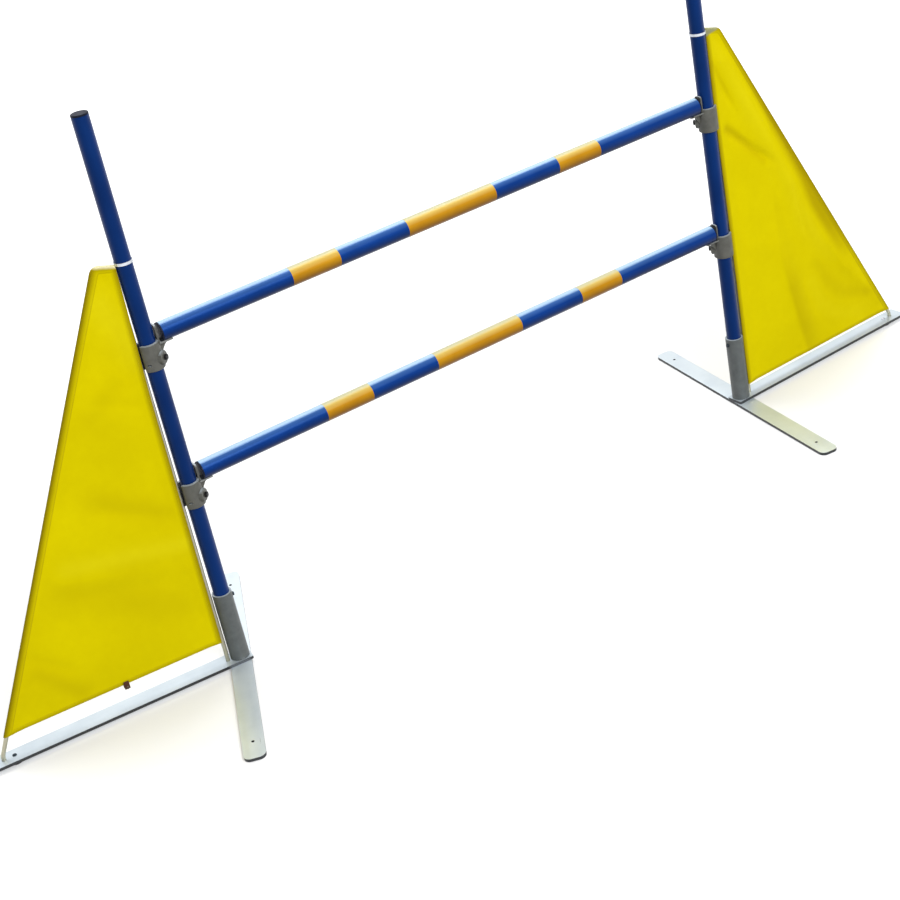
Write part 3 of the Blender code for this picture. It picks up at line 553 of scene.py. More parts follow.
# %% Fold helpers


def smooth(value, low, high):
    """0 below low and 1 above high, with a soft passage between them."""
    t = min(1.0, max(0.0, (value - low) / (high - low)))
    return t * t * (3 - 2 * t)


def ridge(value, width):
    """A bell: 1 at the middle, and nearly 0 beyond twice its width."""
    return math.exp(-(value / width) ** 2)


def path_fold(x, z, path, heights, width, fall):
    """Height of a fold whose crest follows (x, z) points; it rises over width, falls over fall."""
    levels = [point[1] for point in path]
    crest = float(np.interp(z, levels, [point[0] for point in path]))
    height = float(np.interp(z, levels, heights))
    across = x - crest
    return height * ridge(across, width if across < 0 else fall)


def hollow(x, z, start, end, depth, width):
    """A straight shallow valley between two points, fading at its ends."""
    run = Vector(end) - Vector(start)
    away = Vector((x, z)) - Vector(start)
    along = away.dot(run) / run.length_squared
    beside = (away.x * run.y - away.y * run.x) / run.length
    past_ends = max(0.0, abs(along - 0.5) - 0.3)
    return -depth * ridge(beside, width) * ridge(past_ends, 0.25)


print("fold helpers ready")

# %% Folds
SAG = 0.0012
SAG_PITCH = 0.24
SAG_SLANT = 0.25
SAG_START = 0.4


def fold_left(x, z):
    """Offset of the left sleeve's cloth towards the front."""
    lift = SAG * math.sin(2 * math.pi * (z - SAG_SLANT * x) / SAG_PITCH + SAG_START)
    lift += hollow(x, z, (0.04, 0.335), (0.17, 0.405), 0.0016, 0.016)
    lift += hollow(x, z, (0.30, 0.125), (0.37, 0.195), 0.0018, 0.014)
    lift += hollow(x, z, (0.08, 0.215), (0.26, 0.270), 0.0014, 0.022)
    lift += hollow(x, z, (0.04, 0.560), (0.13, 0.600), 0.0007, 0.010)
    return lift


CREST = [(0.300, 0.21), (0.285, 0.24), (0.255, 0.30), (0.225, 0.36), (0.200, 0.43),
         (0.160, 0.52), (0.100, 0.65), (0.060, 0.74), (0.030, 0.80)]


def fold_right(x, z):
    """Offset of the right sleeve's cloth towards the front."""
    heights = [0, 0.0012, 0.0030, 0.0050, 0.0065, 0.0070, 0.0065, 0.0045, 0]
    lift = path_fold(x, z, CREST, heights, 0.026, 0.030)
    lower = [(0.210, 0.08), (0.200, 0.11), (0.172, 0.21), (0.150, 0.31), (0.138, 0.36)]
    lift += path_fold(x, z, lower, [0.0026, 0.0046, 0.0052, 0.0030, 0], 0.020, 0.026)
    outer = [(0.420, 0.09), (0.400, 0.11), (0.335, 0.19), (0.292, 0.26), (0.262, 0.32)]
    lift += path_fold(x, z, outer, [0, 0.0024, 0.0042, 0.0030, 0], 0.018, 0.028)
    lift += hollow(x, z, (0.035, 0.610), (0.150, 0.500), 0.0038, 0.009)
    lift += hollow(x, z, (0.022, 0.735), (0.060, 0.655), 0.0022, 0.007)
    lift += hollow(x, z, (0.205, 0.425), (0.232, 0.300), 0.0024, 0.008)
    return lift


FOLD = {"left": fold_left, "right": fold_right}
print("right ridge's height:", round(max(fold_right(x, z) for x, z in CREST), 4))

# %% [markdown]
# ## Painted highlight and shade on the folds
# The crests get a paler colour and the hollows a darker one, a painted highlight and a painted
# shade. The light alone could shade the folds, but in the photograph they differ more. So each
# point gets a value, from 1 for painted highlight to -1 for painted shade, from lines that follow the
# folds.

# %% Tones


def stroke(x, z, points, width):
    """1 on a drawn line, fading to 0 beside it and past its ends."""
    best = 0.0
    for start, end in zip(points, points[1:]):
        run = Vector(end) - Vector(start)
        away = Vector((x, z)) - Vector(start)
        part = min(1.0, max(0.0, away.dot(run) / run.length_squared))
        best = max(best, ridge((away - run * part).length, width))
    return best


def tone_left(x, z):
    """The left cloth's painted light: two paler sags, a painted highlight, and faint painted shade between
    them.
    """
    painted_fold_light = 0.9 * stroke(x, z, [(0.04, 0.280), (0.25, 0.320)], 0.018)
    painted_fold_light += 0.9 * stroke(x, z, [(0.02, 0.650), (0.06, 0.760)], 0.030)
    painted_fold_light -= 0.20 * stroke(x, z, [(0.06, 0.350), (0.16, 0.420)], 0.026)
    painted_fold_light -= 0.22 * stroke(x, z, [(0.08, 0.160), (0.17, 0.220), (0.27, 0.280)], 0.036)
    painted_fold_light -= 0.24 * stroke(x, z, [(0.295, 0.080), (0.355, 0.150)], 0.018)
    return painted_fold_light - 0.14 * stroke(x, z, [(0.07, 0.620), (0.13, 0.570)], 0.018)


SHADOW_SHIFT = 0.040


def tone_right(x, z):
    """The right cloth's painted light: a paler crest, a darker strip beyond it as its painted shadow, and
    darker lines below both.
    """
    painted_fold_light = path_fold(x, z, CREST, [0, 0.3, 0.6, 0.6, 0.6, 0.5, 0.9, 0.5, 0.5], 0.030, 0.011)
    beyond = [(place + SHADOW_SHIFT, height) for place, height in CREST]
    painted_fold_light -= path_fold(x, z, beyond, [0, 0.34, 0.74, 0.80, 0.84, 0.86, 1.0, 1.0, 0.6], 0.015, 0.060)
    lower = [(0.210, 0.03), (0.190, 0.11), (0.170, 0.20), (0.155, 0.285)]
    painted_fold_light -= path_fold(x, z, lower, [0.30, 0.38, 0.42, 0.1], 0.006, 0.034)
    painted_fold_light -= 0.42 * stroke(x, z, [(0.045, 0.605), (0.085, 0.565), (0.135, 0.505)], 0.010)
    painted_fold_light -= 0.40 * stroke(x, z, [(0.025, 0.750), (0.055, 0.685), (0.078, 0.635)], 0.008)
    outer = [(0.255, 0.230), (0.280, 0.170), (0.325, 0.130), (0.390, 0.105)]
    painted_fold_light -= 0.20 * stroke(x, z, outer, 0.017)
    hem_crest = [(0.235, 0.190), (0.255, 0.130), (0.300, 0.085), (0.370, 0.065)]
    return painted_fold_light + 0.4 * stroke(x, z, hem_crest, 0.018)


PAINTED_FOLD_LIGHT = {"left": tone_left, "right": tone_right}
print("tone on the right crest:", [round(tone_right(x, z), 2) for x, z in CREST])

# %% [markdown]
# ## The bag's thickness
# The rod runs inside the bag along both sides, with a seam beside it. So the bag is round
# over the rod, drawn in at the stitches and nearly flat between them. A cloth simulation
# would find this too, but on a bag stretched so tight a formula for half its thickness is
# enough. The folds shift the front layer in full, and the back one a little less.

# %% Thickness
SLACK = 0.0016
MORE_SLACK = 0.0006
SEAM_WIDTH = 0.0014
PINCH = 0.05
THINNEST = 0.0002
ROUNDING = 6
EDGE_SHARE = 0.888
BACK_SHARE = 0.8
STITCH = 0.0115
INNER_STITCH = 0.0065
TAUT = 0.028


def soft_least(a, b, soft=0.0012):
    """The smaller of two distances, with a rounded changeover."""
    least = min(a, b)
    other = max(a, b)
    return max(0.0, least - soft * math.log(1 + math.exp(-(other - least) / soft)))


def half_thickness(rim, x, z, inward):
    """Half the bag's thickness at a place, from its distances to the rim and the inner edge."""
    if rim < CHANNEL:
        outer = math.sqrt(CHANNEL ** 2 - (CHANNEL - rim) ** 2)
    else:
        outer = CHANNEL * math.exp(-((rim - CHANNEL) / TAUT) ** 1.2)
    past = x - rod_place(z)
    if past > 0:
        upright = CHANNEL * math.exp(-(past / TAUT) ** 1.5)
    else:
        upright = CHANNEL * (1 - 0.2 * (past / CHANNEL) ** 2)
    upright = min(upright, outer) if rim < CHANNEL else upright
    slack = SLACK + MORE_SLACK * smooth(rim, 0.014, 0.05)
    slack *= smooth(rim, 0.0, 0.006)
    pinch = 1 - PINCH * ridge(rim - STITCH, SEAM_WIDTH) - PINCH * ridge(inward - INNER_STITCH, SEAM_WIDTH)
    total = sum(part ** ROUNDING for part in (outer, upright, slack))
    return max(total ** (1 / ROUNDING) * pinch, THINNEST)


def cloth_offsets(side, x, z, edge, inner, depth):
    """How far the front and the back layer stand off the wing's middle, and the rim's distance.

    EDGE_SHARE turns a step along x into the distance from the slanted edge.
    """
    rim = soft_least(EDGE_SHARE * (edge - x), depth)
    half = half_thickness(rim, x, z, x - inner)
    calm = smooth(rim, 0.007, 0.028) * smooth(x - inner, 0.008, 0.030) * smooth(depth, 0.015, 0.06)
    calm *= 0.25 + 0.75 * smooth(z - HEM[side], 0.0, 0.05)
    shift = FOLD[side](x, z) * calm
    return half + shift, half - BACK_SHARE * shift, rim


print("half thickness over the rod:", round(half_thickness(CHANNEL, 0.3, 0.3, 0.28), 4))

# %% [markdown]
# ## The sleeves' mesh
# Rows run up from the hem. Each row starts inside the front layer's turned edge beside the
# pole, runs along the front, round the rod, back along the rear and into the rear layer's
# turned edge. Points are closer together where the cloth turns. The first rows go up inside
# the hem, so that it reads as turned under too. A plane with a cloth modifier could do it,
# but its edges would not lie on the rod. Each point also carries its distances to the edges
# and its painted light and shade for the folds, which the finish reads as attributes.

# %% Rows of points
INNER_STEPS = 16
MIDDLE_STEPS = 76
OUTER_STEPS = 36
HEIGHT_STEPS = 110
TURN_IN = [(0.0060, 0.0009), (0.0030, 0.0010), (0.0006, 0.0010), (0.0, 0.0005)]
HEM_TURN = [(0.0090, 0.0009), (0.0045, 0.0010), (0.0006, 0.0010), (0.0, 0.0006), (0.0002, 0.0002)]
HEM_ROWS = (0.0007, 0.002, 0.004, 0.0065, 0.0085, 0.0105)
FIRST_ROW = 0.013
TOP_POWER = 6
NARROW = 0.040
DENSE_INNER = 0.010
DENSE_OUTER = 0.022
HAIR = 0.0001


def places_across(inner, edge):
    """Places of a row's points: dense at the inner edge and at the outer one."""
    near = min(1.0, (edge - inner) / NARROW)
    first = inner + DENSE_INNER * near
    last = edge - DENSE_OUTER * near
    places = [inner + (first - inner) * (i / INNER_STEPS) ** 1.5 for i in range(INNER_STEPS)]
    places += [first + (last - first) * i / MIDDLE_STEPS for i in range(MIDDLE_STEPS)]
    places += [edge - (edge - last) * (1 - i / OUTER_STEPS) ** 1.6 for i in range(OUTER_STEPS + 1)]
    return places


def row_heights(side):
    """Heights of the rows above the hem, with how far each lies inside the outer face."""
    reach = SLEEVE_TOP[side] - HEM[side]
    steps = HEIGHT_STEPS
    rows = HEM_TURN + [(height, 0.0) for height in HEM_ROWS]
    rows += [(FIRST_ROW + (reach * 0.5 - FIRST_ROW) * k / steps, 0.0) for k in range(steps)]
    rows += [(reach * (0.5 + 0.5 * math.sin(math.pi / 2 * k / steps)), 0.0) for k in range(steps + 1)]
    return rows


def sleeve_row(side, height, inset):
    """One row of points, each with its distances to rim, inner edge and top, and its painted light and
    shade for the folds.
    """
    reach = SLEEVE_TOP[side] - HEM[side]
    level = HEM[side] + height
    rise = TOP_SLOPE[side] * (height / reach) ** TOP_POWER
    depth = reach - height
    edge = outer_edge(side, level, rise)
    inner = inner_edge(side, level)
    spots = [(inner + back, under) for back, under in TURN_IN]
    spots += [(x, 0.0) for x in places_across(inner + HAIR, edge)]
    front, rear = [], []
    for x, under in spots:
        z = level + rise * (x - TOP_INNER)
        ahead, behind, rim = cloth_offsets(side, x, z, edge, inner, depth)
        middle = (ahead - behind) / 2
        half = max((ahead + behind) / 2 - inset - under, HAIR)
        rest = (rim, x - inner, depth, PAINTED_FOLD_LIGHT[side](x, z))
        front.append((Vector((x, -half - middle, z)), *rest))
        rear.append((Vector((x, half - middle, z)), *rest))
    return front + rear[::-1]


print("rows in a sleeve:", len(row_heights("left")))

# %% Sleeve mesh
LAYERS = ("rim", "inner", "below", "painted_fold_light", "above")


def side_matrix(side):
    """The wing's matrix, mirrored on the left so that -y is the front on both."""
    mirror = Matrix.Scale(-1, 4, (0, 1, 0)) if side == "left" else Matrix.Identity(4)
    return wing_matrix(side) @ mirror


def object_from(bm, name):
    """Put a finished bmesh into the scene."""
    mesh = bpy.data.meshes.new(name)
    bm.to_mesh(mesh)
    bm.free()
    item = bpy.data.objects.new(name, mesh)
    bpy.context.scene.collection.objects.link(item)
    return item


def cloth_points(bm, side, rows):
    """The mesh's points in rows, each with its values for the finish."""
    layers = [bm.verts.layers.float.new(name) for name in LAYERS]
    place = side_matrix(side)
    made = []
    for row in rows:
        verts = []
        for point, *values in row:
            vert = bm.verts.new(place @ point)
            for layer, value in zip(layers, (*values, point.z - HEM[side])):
                vert[layer] = value
            verts.append(vert)
        made.append(verts)
    return made


def sleeve(side):
    rows = [sleeve_row(side, height, inset) for height, inset in row_heights(side)]
    bm = bmesh.new()
    uv = bm.loops.layers.uv.new("cloth")
    made = cloth_points(bm, side, rows)
    count = len(rows[0])
    for j in range(len(rows) - 1):
        for i in range(count - 1):
            k = i + 1
            face = bm.faces.new((made[j][i], made[j][k], made[j + 1][k], made[j + 1][i]))
            corners = (rows[j][i], rows[j][k], rows[j + 1][k], rows[j + 1][i])
            for loop, corner in zip(face.loops, corners):
                loop[uv].uv = (corner[0].x, corner[0].z)
    last = made[-1]
    half = count // 2
    for i in range(half - 1):
        bm.faces.new((last[i], last[i + 1], last[count - 2 - i], last[count - 1 - i]))
    bmesh.ops.recalc_face_normals(bm, faces=bm.faces)
    item = object_from(bm, side + "_wing_sleeve")
    item.data.shade_smooth()
    return item


SLEEVES = {side: sleeve(side) for side in SIDES}
print({side: len(SLEEVES[side].data.vertices) for side in SIDES})

# %% [markdown]
# ## Seam stitches
# A sewn seam is a row of short threads, each dipping into the cloth at both ends. Bump could
# draw them, but it casts no shadow. So one stitch is a small cylinder with sunk ends, an
# array repeats it along a straight seam line, and every point is then laid on the cloth.
# Each stitch keeps few faces, because there are hundreds.

# %% A run of stitches
THREAD = 0.00035
STITCH_LENGTH = 0.0030
STITCH_PITCH = 0.0040
SUNK_ENDS = (0.2, 0.8)


def stitch_run(name, count):
    """A straight run of stitches along +X, centred on the axis."""
    bpy.ops.object.select_all(action="DESELECT")
    bpy.ops.mesh.primitive_cylinder_add(
        vertices=6, radius=THREAD, depth=STITCH_LENGTH,
        rotation=(0, math.pi / 2, 0), location=(STITCH_LENGTH / 2, 0, 0))
    run = bpy.context.object
    run.name = name
    bpy.ops.object.transform_apply(location=True, rotation=True, scale=True)
    bpy.ops.object.mode_set(mode="EDIT")
    for share in SUNK_ENDS:
        bpy.ops.mesh.select_all(action="SELECT")
        bpy.ops.mesh.bisect(plane_co=(STITCH_LENGTH * share, 0, 0), plane_no=(1, 0, 0))
    bpy.ops.object.mode_set(mode="OBJECT")
    for vert in run.data.vertices:
        if abs(vert.co.x / STITCH_LENGTH - 0.5) > 0.45:
            vert.co.y = vert.co.y * 0.5
            vert.co.z = vert.co.z * 0.5 - THREAD * 1.4
    finish_with(run, "ARRAY", use_relative_offset=False, use_constant_offset=True,
                constant_offset_displace=(STITCH_PITCH, 0, 0), count=count)
    return run


print("stitches:", STITCH_LENGTH * 1000, "mm long, one every", STITCH_PITCH * 1000, "mm")

# %% Seams
SEAM_RISE = 0.012
SEAM_END = 0.050
HEM_SEAM = 0.008
HEM_SEAM_START = 0.010


def lay_on_cloth(run, side, start, end, facing):
    """Lay a run from start to end in the wing's plane, then drop it on the cloth."""
    along = (Vector(end) - Vector(start)).normalized()
    beside = Vector((-along.y, along.x))
    reach = SLEEVE_TOP[side] - HEM[side]
    place = side_matrix(side)
    for vert in run.data.vertices:
        spot = Vector(start) + along * vert.co.x + beside * vert.co.y
        depth = SLEEVE_TOP[side] - spot.y
        edge = outer_edge(side, spot.y, 0)
        inner = inner_edge(side, spot.y)
        ahead, behind, _ = cloth_offsets(side, spot.x, spot.y, edge, inner, depth)
        out = vert.co.z + THREAD * 0.5
        y = -(ahead + out) if facing == "front" else behind + out
        vert.co = place @ Vector((spot.x, y, spot.y))
    return run


def seam_lines(side):
    """Start and end of each straight stitch line in the wing's plane."""
    def at_outer(level):
        return Vector((outer_edge(side, level, 0) - STITCH / EDGE_SHARE, level))

    def at_inner(level, inset):
        return Vector((inner_edge(side, level) + inset, level))
    low, high = HEM[side] + SEAM_RISE, SLEEVE_TOP[side] - SEAM_END
    hem = HEM[side] + HEM_SEAM
    return ((at_outer(low), at_outer(high)),
            (at_inner(low, INNER_STITCH), at_inner(high, INNER_STITCH)),
            (at_inner(hem, HEM_SEAM_START), at_outer(hem)))


def stitches(side):
    runs = []
    for number, (start, end) in enumerate(seam_lines(side)):
        count = int((end - start).length / STITCH_PITCH)
        for facing in ("front", "back"):
            run = stitch_run(side + "_stitches_" + str(number) + facing, count)
            runs.append(lay_on_cloth(run, side, start, end, facing))
    bpy.ops.object.select_all(action="DESELECT")
    for run in runs:
        run.select_set(True)
    bpy.context.view_layer.objects.active = runs[0]
    bpy.ops.object.join()
    bpy.ops.object.mode_set(mode="EDIT")
    bpy.ops.mesh.select_all(action="SELECT")
    bpy.ops.mesh.normals_make_consistent(inside=False)
    bpy.ops.object.mode_set(mode="OBJECT")
    row = bpy.context.object
    row.name = side + "_seam_stitches"
    row.data.shade_smooth()
    return row


STITCHES = {side: stitches(side) for side in SIDES}
print({side: len(STITCHES[side].data.polygons) for side in SIDES})

# %% [markdown]
# ## Yellow cloth
# A close plain weave in lemon yellow. One colour would look new, so layers of colour are
# mixed over it: cloudy wear, painted highlight and shade on the folds, olive bands of painted
# shade at the edges, where the doubled cloth would let less light through, and a band over the
# rod at the top, a painted highlight on the left and a painted shade on the right. A layer's place comes
# from the attributes, so it fits the shape.

# %% Cloth colours
THREAD_WIDTH = 0.0011
# band over the rod at the top: a pale painted highlight on the left, a grey-tan painted shade on the right
ROD_TOP_LIGHT_AND_SHADE = {"left": srgb(228, 220, 176), "right": srgb(150, 152, 116)}
ROD_TOP_BAND = {"left": (0.0065, 0.02), "right": (0.019, 0.45)}
ROD_TOP_BAND_FADE = 0.004
ROD_TOP_BAND_RAGGED = 0.004


def weave_of(n):
    """A plain weave, -1 to 1, on the cloth's own map."""
    cloth_map = n.add("ShaderNodeUVMap", {"uv_map": "cloth"}).outputs[0]
    split = n.add("ShaderNodeSeparateXYZ", Vector=cloth_map)
    turns = 2 * math.pi / THREAD_WIDTH
    warp = n.math("SINE", n.math("MULTIPLY", split.outputs["X"], turns))
    weft = n.math("SINE", n.math("MULTIPLY", split.outputs["Y"], turns))
    return n.math("MULTIPLY", warp, weft)


def worn_yellow(n, fine, weave):
    """The open cloth: cloudy yellow, with a painted highlight on the crests and a painted shade in the
    hollows, and a fine weave.
    """
    painted_fold_light = n.attribute("painted_fold_light")
    cloud = n.noise(6.0, 5.0, 0.6)
    colour = n.mix(n.span(cloud, 0.3, 0.7), srgb(222, 205, 0), srgb(231, 215, 0))
    # painted highlight on the crests, then painted shade in the hollows and beyond the right crest
    colour = n.mix(n.span(painted_fold_light, 0.0, 1.0, 0.0, 0.45), colour, srgb(240, 226, 24))
    colour = n.mix(n.span(painted_fold_light, 0.0, -1.0, 0.0, 1.0), colour, srgb(178, 156, 3))
    colour = n.mix(n.span(fine, 0.25, 0.75, 0.0, 0.14), colour, srgb(206, 182, 0))
    return n.mix(n.span(weave, -1.0, 1.0, 0.0, 0.08), colour, srgb(186, 160, 0))


def doubled(n):
    """How much painted shade the cloth gets: olive at both sides and at the hem, where doubled cloth would
    let less light through, and along the seams.
    """
    rim, inward = n.attribute("rim"), n.attribute("inner")
    band = n.math("MAXIMUM", n.span(rim, 0.001, 0.012, 0.86, 0.0),
                  n.span(inward, 0.001, 0.012, 0.80, 0.0))
    band = n.math("MAXIMUM", band, n.span(n.attribute("above"), 0.002, 0.010, 0.50, 0.0))
    seam = n.math("MINIMUM", n.math("ABSOLUTE", n.math("SUBTRACT", rim, STITCH)),
                  n.math("ABSOLUTE", n.math("SUBTRACT", inward, INNER_STITCH)))
    seam = n.span(seam, 0.0004, 0.0018, 1.0, 0.0)
    return n.math("MAXIMUM", band, n.math("MULTIPLY", seam, 0.35))


def dusty(n, side, fine):
    """How much of the painted band lies on the cloth over the rod, down to a ragged and slanted line."""
    reach, slant = ROD_TOP_BAND[side]
    low = n.math("ADD", n.attribute("below"), n.math("MULTIPLY", n.attribute("inner"), slant))
    low = n.math("ADD", low, n.math("MULTIPLY", n.math("SUBTRACT", fine, 0.5), ROD_TOP_BAND_RAGGED))
    return n.span(low, reach - ROD_TOP_BAND_FADE, reach, 0.9, 0.0)


print("cloth colours ready")

# %% Cloth and thread


def cloth(side):
    n = Nodes(side + "_yellow_cloth", srgb(224, 208, 0), 0.80, 0.0, 0.06)
    n.shader.inputs["Specular Tint"].default_value = (1.0, 0.86, 0.25, 1.0)
    weave = weave_of(n)
    fine = n.noise(60.0, 4.0, 0.6)
    # painted shade: olive at the doubled edges, the hem and the seams
    colour = n.mix(doubled(n), worn_yellow(n, fine, weave), srgb(138, 118, 8))
    # the painted band over the rod: highlight on the left, shade on the right
    n.join(n.mix(dusty(n, side, fine), colour, ROD_TOP_LIGHT_AND_SHADE[side]), "Base Color")
    n.join(n.span(fine, 0.3, 0.7, 0.72, 0.88), "Roughness")
    n.shader.inputs["Sheen Weight"].default_value = 0.02
    n.shader.inputs["Sheen Roughness"].default_value = 0.5
    n.shader.inputs["Sheen Tint"].default_value = (1.0, 0.9, 0.3, 1.0)
    coarse = n.bump(n.noise(30.0, 3.0, 0.55), 0.30, 0.0016)
    n.bump(weave, 0.25, 0.0002, coarse)
    return n.material


def thread_finish():
    n = Nodes("yellow_thread", srgb(206, 186, 8), 0.6, 0.0, 0.2)
    twist = n.noise(900.0, 2.0)
    n.join(n.mix(n.span(twist, 0.3, 0.7), srgb(190, 168, 6), srgb(216, 198, 14)), "Base Color")
    n.bump(twist, 0.3, 0.0001)
    return n.material


THREAD_YELLOW = thread_finish()
for side in SIDES:
    item = SLEEVES[side]
    item.data.materials.append(cloth(side))
    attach(item, "stands")
    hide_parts(side + "_sleeve")
    row = STITCHES[side]
    row.data.materials.clear()
    row.data.materials.append(THREAD_YELLOW)
    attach(row, "stands")
print("sleeves in yellow cloth")

# %% [markdown]
# ## Hem strap
# A short tab of brown webbing joins the two layers under the left sleeve's hem. It could be
# a bent box, but webbing is a thin ribbon: one edge is drawn out step by step round the
# hem, and the ribbon then gets its thickness and its rounded sides.

# %% Strap's route
STRAP_WALL = 0.0012
STRAP_BEND = 0.0022
BEND_STEPS = 5
STRAP_EDGE = 0.0003
STRAP_SMOOTH = math.radians(40)
RIB = 0.0012
CROSS_RIB = 0.0007


def strap_box():
    """Corners of the model's strap in the wing's frame."""
    back_to_wing = side_matrix("left").inverted()
    points = [back_to_wing @ vert.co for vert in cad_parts["left_hem_strap"].data.vertices]
    return [Vector([pick(point[i] for point in points) for i in range(3)]) for pick in (min, max)]


def strap_route(low, high):
    """The ribbon's middle, as (y, z) points down the front, under the hem and up the back."""
    inset = STRAP_WALL / 2
    bend = STRAP_BEND
    route = [(low.y + inset, high.z), (low.y + inset, low.z + bend * 2), (low.y + inset, low.z + bend)]
    for step in range(1, BEND_STEPS + 1):
        turn = math.pi / 2 * step / BEND_STEPS
        route.append((low.y + bend - (bend - inset) * math.cos(turn),
                      low.z + bend - (bend - inset) * math.sin(turn)))
    return route + [(low.y + high.y - y, z) for y, z in route[::-1]]


print("strap's route has", len(strap_route(*strap_box())), "points")

# %% Strap


def hem_strap():
    low, high = strap_box()
    width = high.x - low.x
    route = strap_route(low, high)
    bpy.ops.object.select_all(action="DESELECT")
    bpy.ops.mesh.primitive_plane_add(size=width, location=((low.x + high.x) / 2, *route[0]))
    strap = bpy.context.object
    strap.name = "left_webbing_tab"
    bpy.ops.object.transform_apply(location=True, rotation=True, scale=True)
    bpy.ops.object.mode_set(mode="EDIT")
    bpy.ops.mesh.select_all(action="DESELECT")
    bpy.ops.object.mode_set(mode="OBJECT")
    for vert in strap.data.vertices:
        vert.select = vert.co.y > route[0][0]
    bpy.ops.object.mode_set(mode="EDIT")
    bpy.ops.mesh.select_mode(type="VERT")
    bpy.ops.mesh.delete(type="VERT")
    bpy.ops.mesh.select_all(action="SELECT")
    bpy.ops.transform.translate(value=(0, width / 2, 0))
    for (y0, z0), (y1, z1) in zip(route, route[1:]):
        bpy.ops.mesh.extrude_region_move(TRANSFORM_OT_translate={"value": (0, y1 - y0, z1 - z0)})
    bpy.ops.object.mode_set(mode="OBJECT")
    finish_with(strap, "SOLIDIFY", thickness=STRAP_WALL, offset=0.0)
    finish_with(strap, "BEVEL", width=STRAP_EDGE, segments=2, limit_method="ANGLE")
    strap.data.transform(side_matrix("left"))
    bpy.ops.object.mode_set(mode="EDIT")
    bpy.ops.mesh.select_all(action="SELECT")
    bpy.ops.mesh.normals_make_consistent(inside=False)
    bpy.ops.object.mode_set(mode="OBJECT")
    bpy.ops.object.shade_smooth_by_angle(angle=STRAP_SMOOTH)
    return strap


def webbing():
    n = Nodes("brown_webbing", srgb(84, 52, 38), 0.75, 0.0, 0.15)
    place = n.add("ShaderNodeSeparateXYZ", Vector=n.mapped((1, 1, 1), WING_TURN["left"])).outputs
    rib = n.math("SINE", n.math("MULTIPLY", place["X"], 2 * math.pi / RIB))
    cross = n.math("SINE", n.math("MULTIPLY", place["Z"], 2 * math.pi / CROSS_RIB))
    weave = n.math("MULTIPLY", rib, cross)
    n.join(n.mix(n.span(weave, -1, 1), srgb(64, 38, 28), srgb(104, 68, 50)), "Base Color")
    n.join(n.span(n.noise(300.0), 0.3, 0.7, 0.68, 0.85), "Roughness")
    n.bump(weave, 0.5, 0.0002)
    return n.material


STRAP = hem_strap()
STRAP.data.materials.append(webbing())
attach(STRAP, "stands")
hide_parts("left_hem_strap")
print("strap:", len(STRAP.data.polygons), "faces")

# %% [markdown]
# ## Floor and background
# The hurdle stands on a pale floor before a white background. Both could be lit until they
# are white, but that light would wash out the hurdle. So only rays from the camera or a
# gloss see them white, and the light that they throw on the hurdle stays modest. The
# floor's glow grows with distance, which keeps the shadow near the hurdle.

# %% Floor
FLOOR_HALF = 14.0
FLOOR_DROP = 0.0004


def seen_directly(tree):
    """1 for rays from the camera, from a gloss or through a clear body, and 0 for the rest."""
    path = tree.nodes.new("ShaderNodeLightPath")
    seen = path.outputs["Is Camera Ray"]
    for ray in ("Is Glossy Ray", "Is Transmission Ray"):
        larger = tree.nodes.new("ShaderNodeMath")
        larger.operation = "MAXIMUM"
        tree.links.new(seen, larger.inputs[0])
        tree.links.new(path.outputs[ray], larger.inputs[1])
        seen = larger.outputs[0]
    return seen


def choose(tree, first, second, target):
    """Give target the second shader where it is seen directly, and the first one elsewhere."""
    choice = tree.nodes.new("ShaderNodeMixShader")
    for index, socket in enumerate((seen_directly(tree), first, second)):
        tree.links.new(socket, choice.inputs[index])
    tree.links.new(choice.outputs[0], tree.nodes[target].inputs["Surface"])


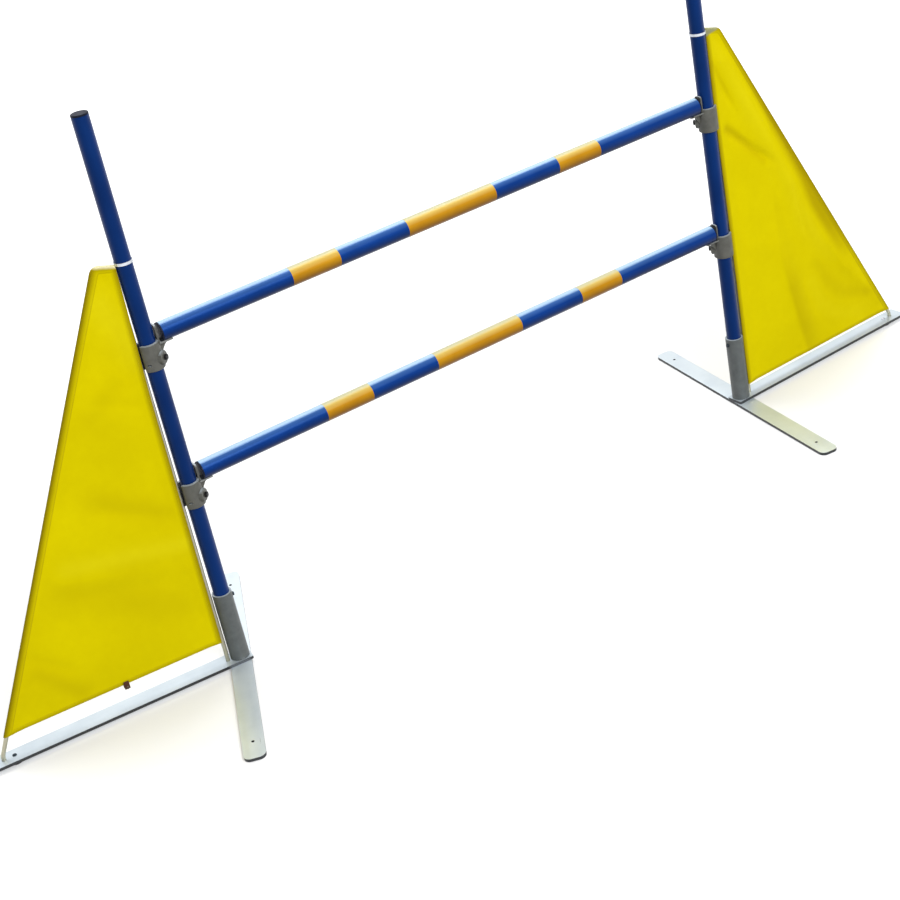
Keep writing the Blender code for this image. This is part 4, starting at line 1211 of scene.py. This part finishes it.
def floor():
    bm = bmesh.new()
    bmesh.ops.create_grid(bm, x_segments=2, y_segments=2, size=FLOOR_HALF)
    item = object_from(bm, "floor")
    n = Nodes("pale_floor", (0.30, 0.30, 0.30, 1.0), 0.95, 0.0, 0.0)
    away = n.add("ShaderNodeVectorMath", {"operation": "LENGTH"}, Vector=n.coords).outputs["Value"]
    glow = n.add("ShaderNodeEmission", Strength=n.span(away, 1.4, 4.0, 0.22, 1.0))
    pale = n.add("ShaderNodeBsdfDiffuse", {"Color": (0.78, 0.78, 0.78, 1.0)})
    both = n.tree.nodes.new("ShaderNodeAddShader")
    n.tree.links.new(pale.outputs[0], both.inputs[0])
    n.tree.links.new(glow.outputs[0], both.inputs[1])
    choose(n.tree, n.shader.outputs[0], both.outputs[0], "Material Output")
    item.data.materials.append(n.material)
    item.location.z = -FLOOR_DROP


floor()
print("floor laid")

# %% [markdown]
# ## Lamps and sky
# The photograph has soft daylight. A sun lamp would cast hard shadows, so two large area
# lamps do the work: one above and behind the hurdle brightens what faces up, and a wide one
# high in front lights the cloth evenly. A faint bluish sky fills the rest.

# %% Lamps and sky


def area_light(name, place, target, size, energy):
    lamp = bpy.data.lights.new(name, "AREA")
    lamp.shape = "RECTANGLE"
    lamp.size, lamp.size_y = size
    lamp.energy = energy
    item = bpy.data.objects.new(name, lamp)
    bpy.context.scene.collection.objects.link(item)
    item.location = place
    item.rotation_euler = (Vector(target) - Vector(place)).to_track_quat("-Z", "Y").to_euler()


area_light("key", (0.6, 1.5, 4.6), (0.2, 0, 0.5), (5.0, 2.6), 210)
area_light("front_fill", (0.3, -7.1, 5.4), (0.30, 0, 0.45), (5.0, 4.0), 645)

world = bpy.data.worlds.new("studio")
bpy.context.scene.world = world
world.use_nodes = True
sky = world.node_tree.nodes["Background"]
white = world.node_tree.nodes.new("ShaderNodeBackground")
for background, colour, strength in ((sky, (0.95, 0.975, 1.0, 1.0), 0.30), (white, (1, 1, 1, 1), 1.0)):
    background.inputs["Color"].default_value = colour
    background.inputs["Strength"].default_value = strength
choose(world.node_tree, sky.outputs[0], white.outputs[0], "World Output")
bpy.context.scene.view_settings.view_transform = "Standard"
print("stage lit")
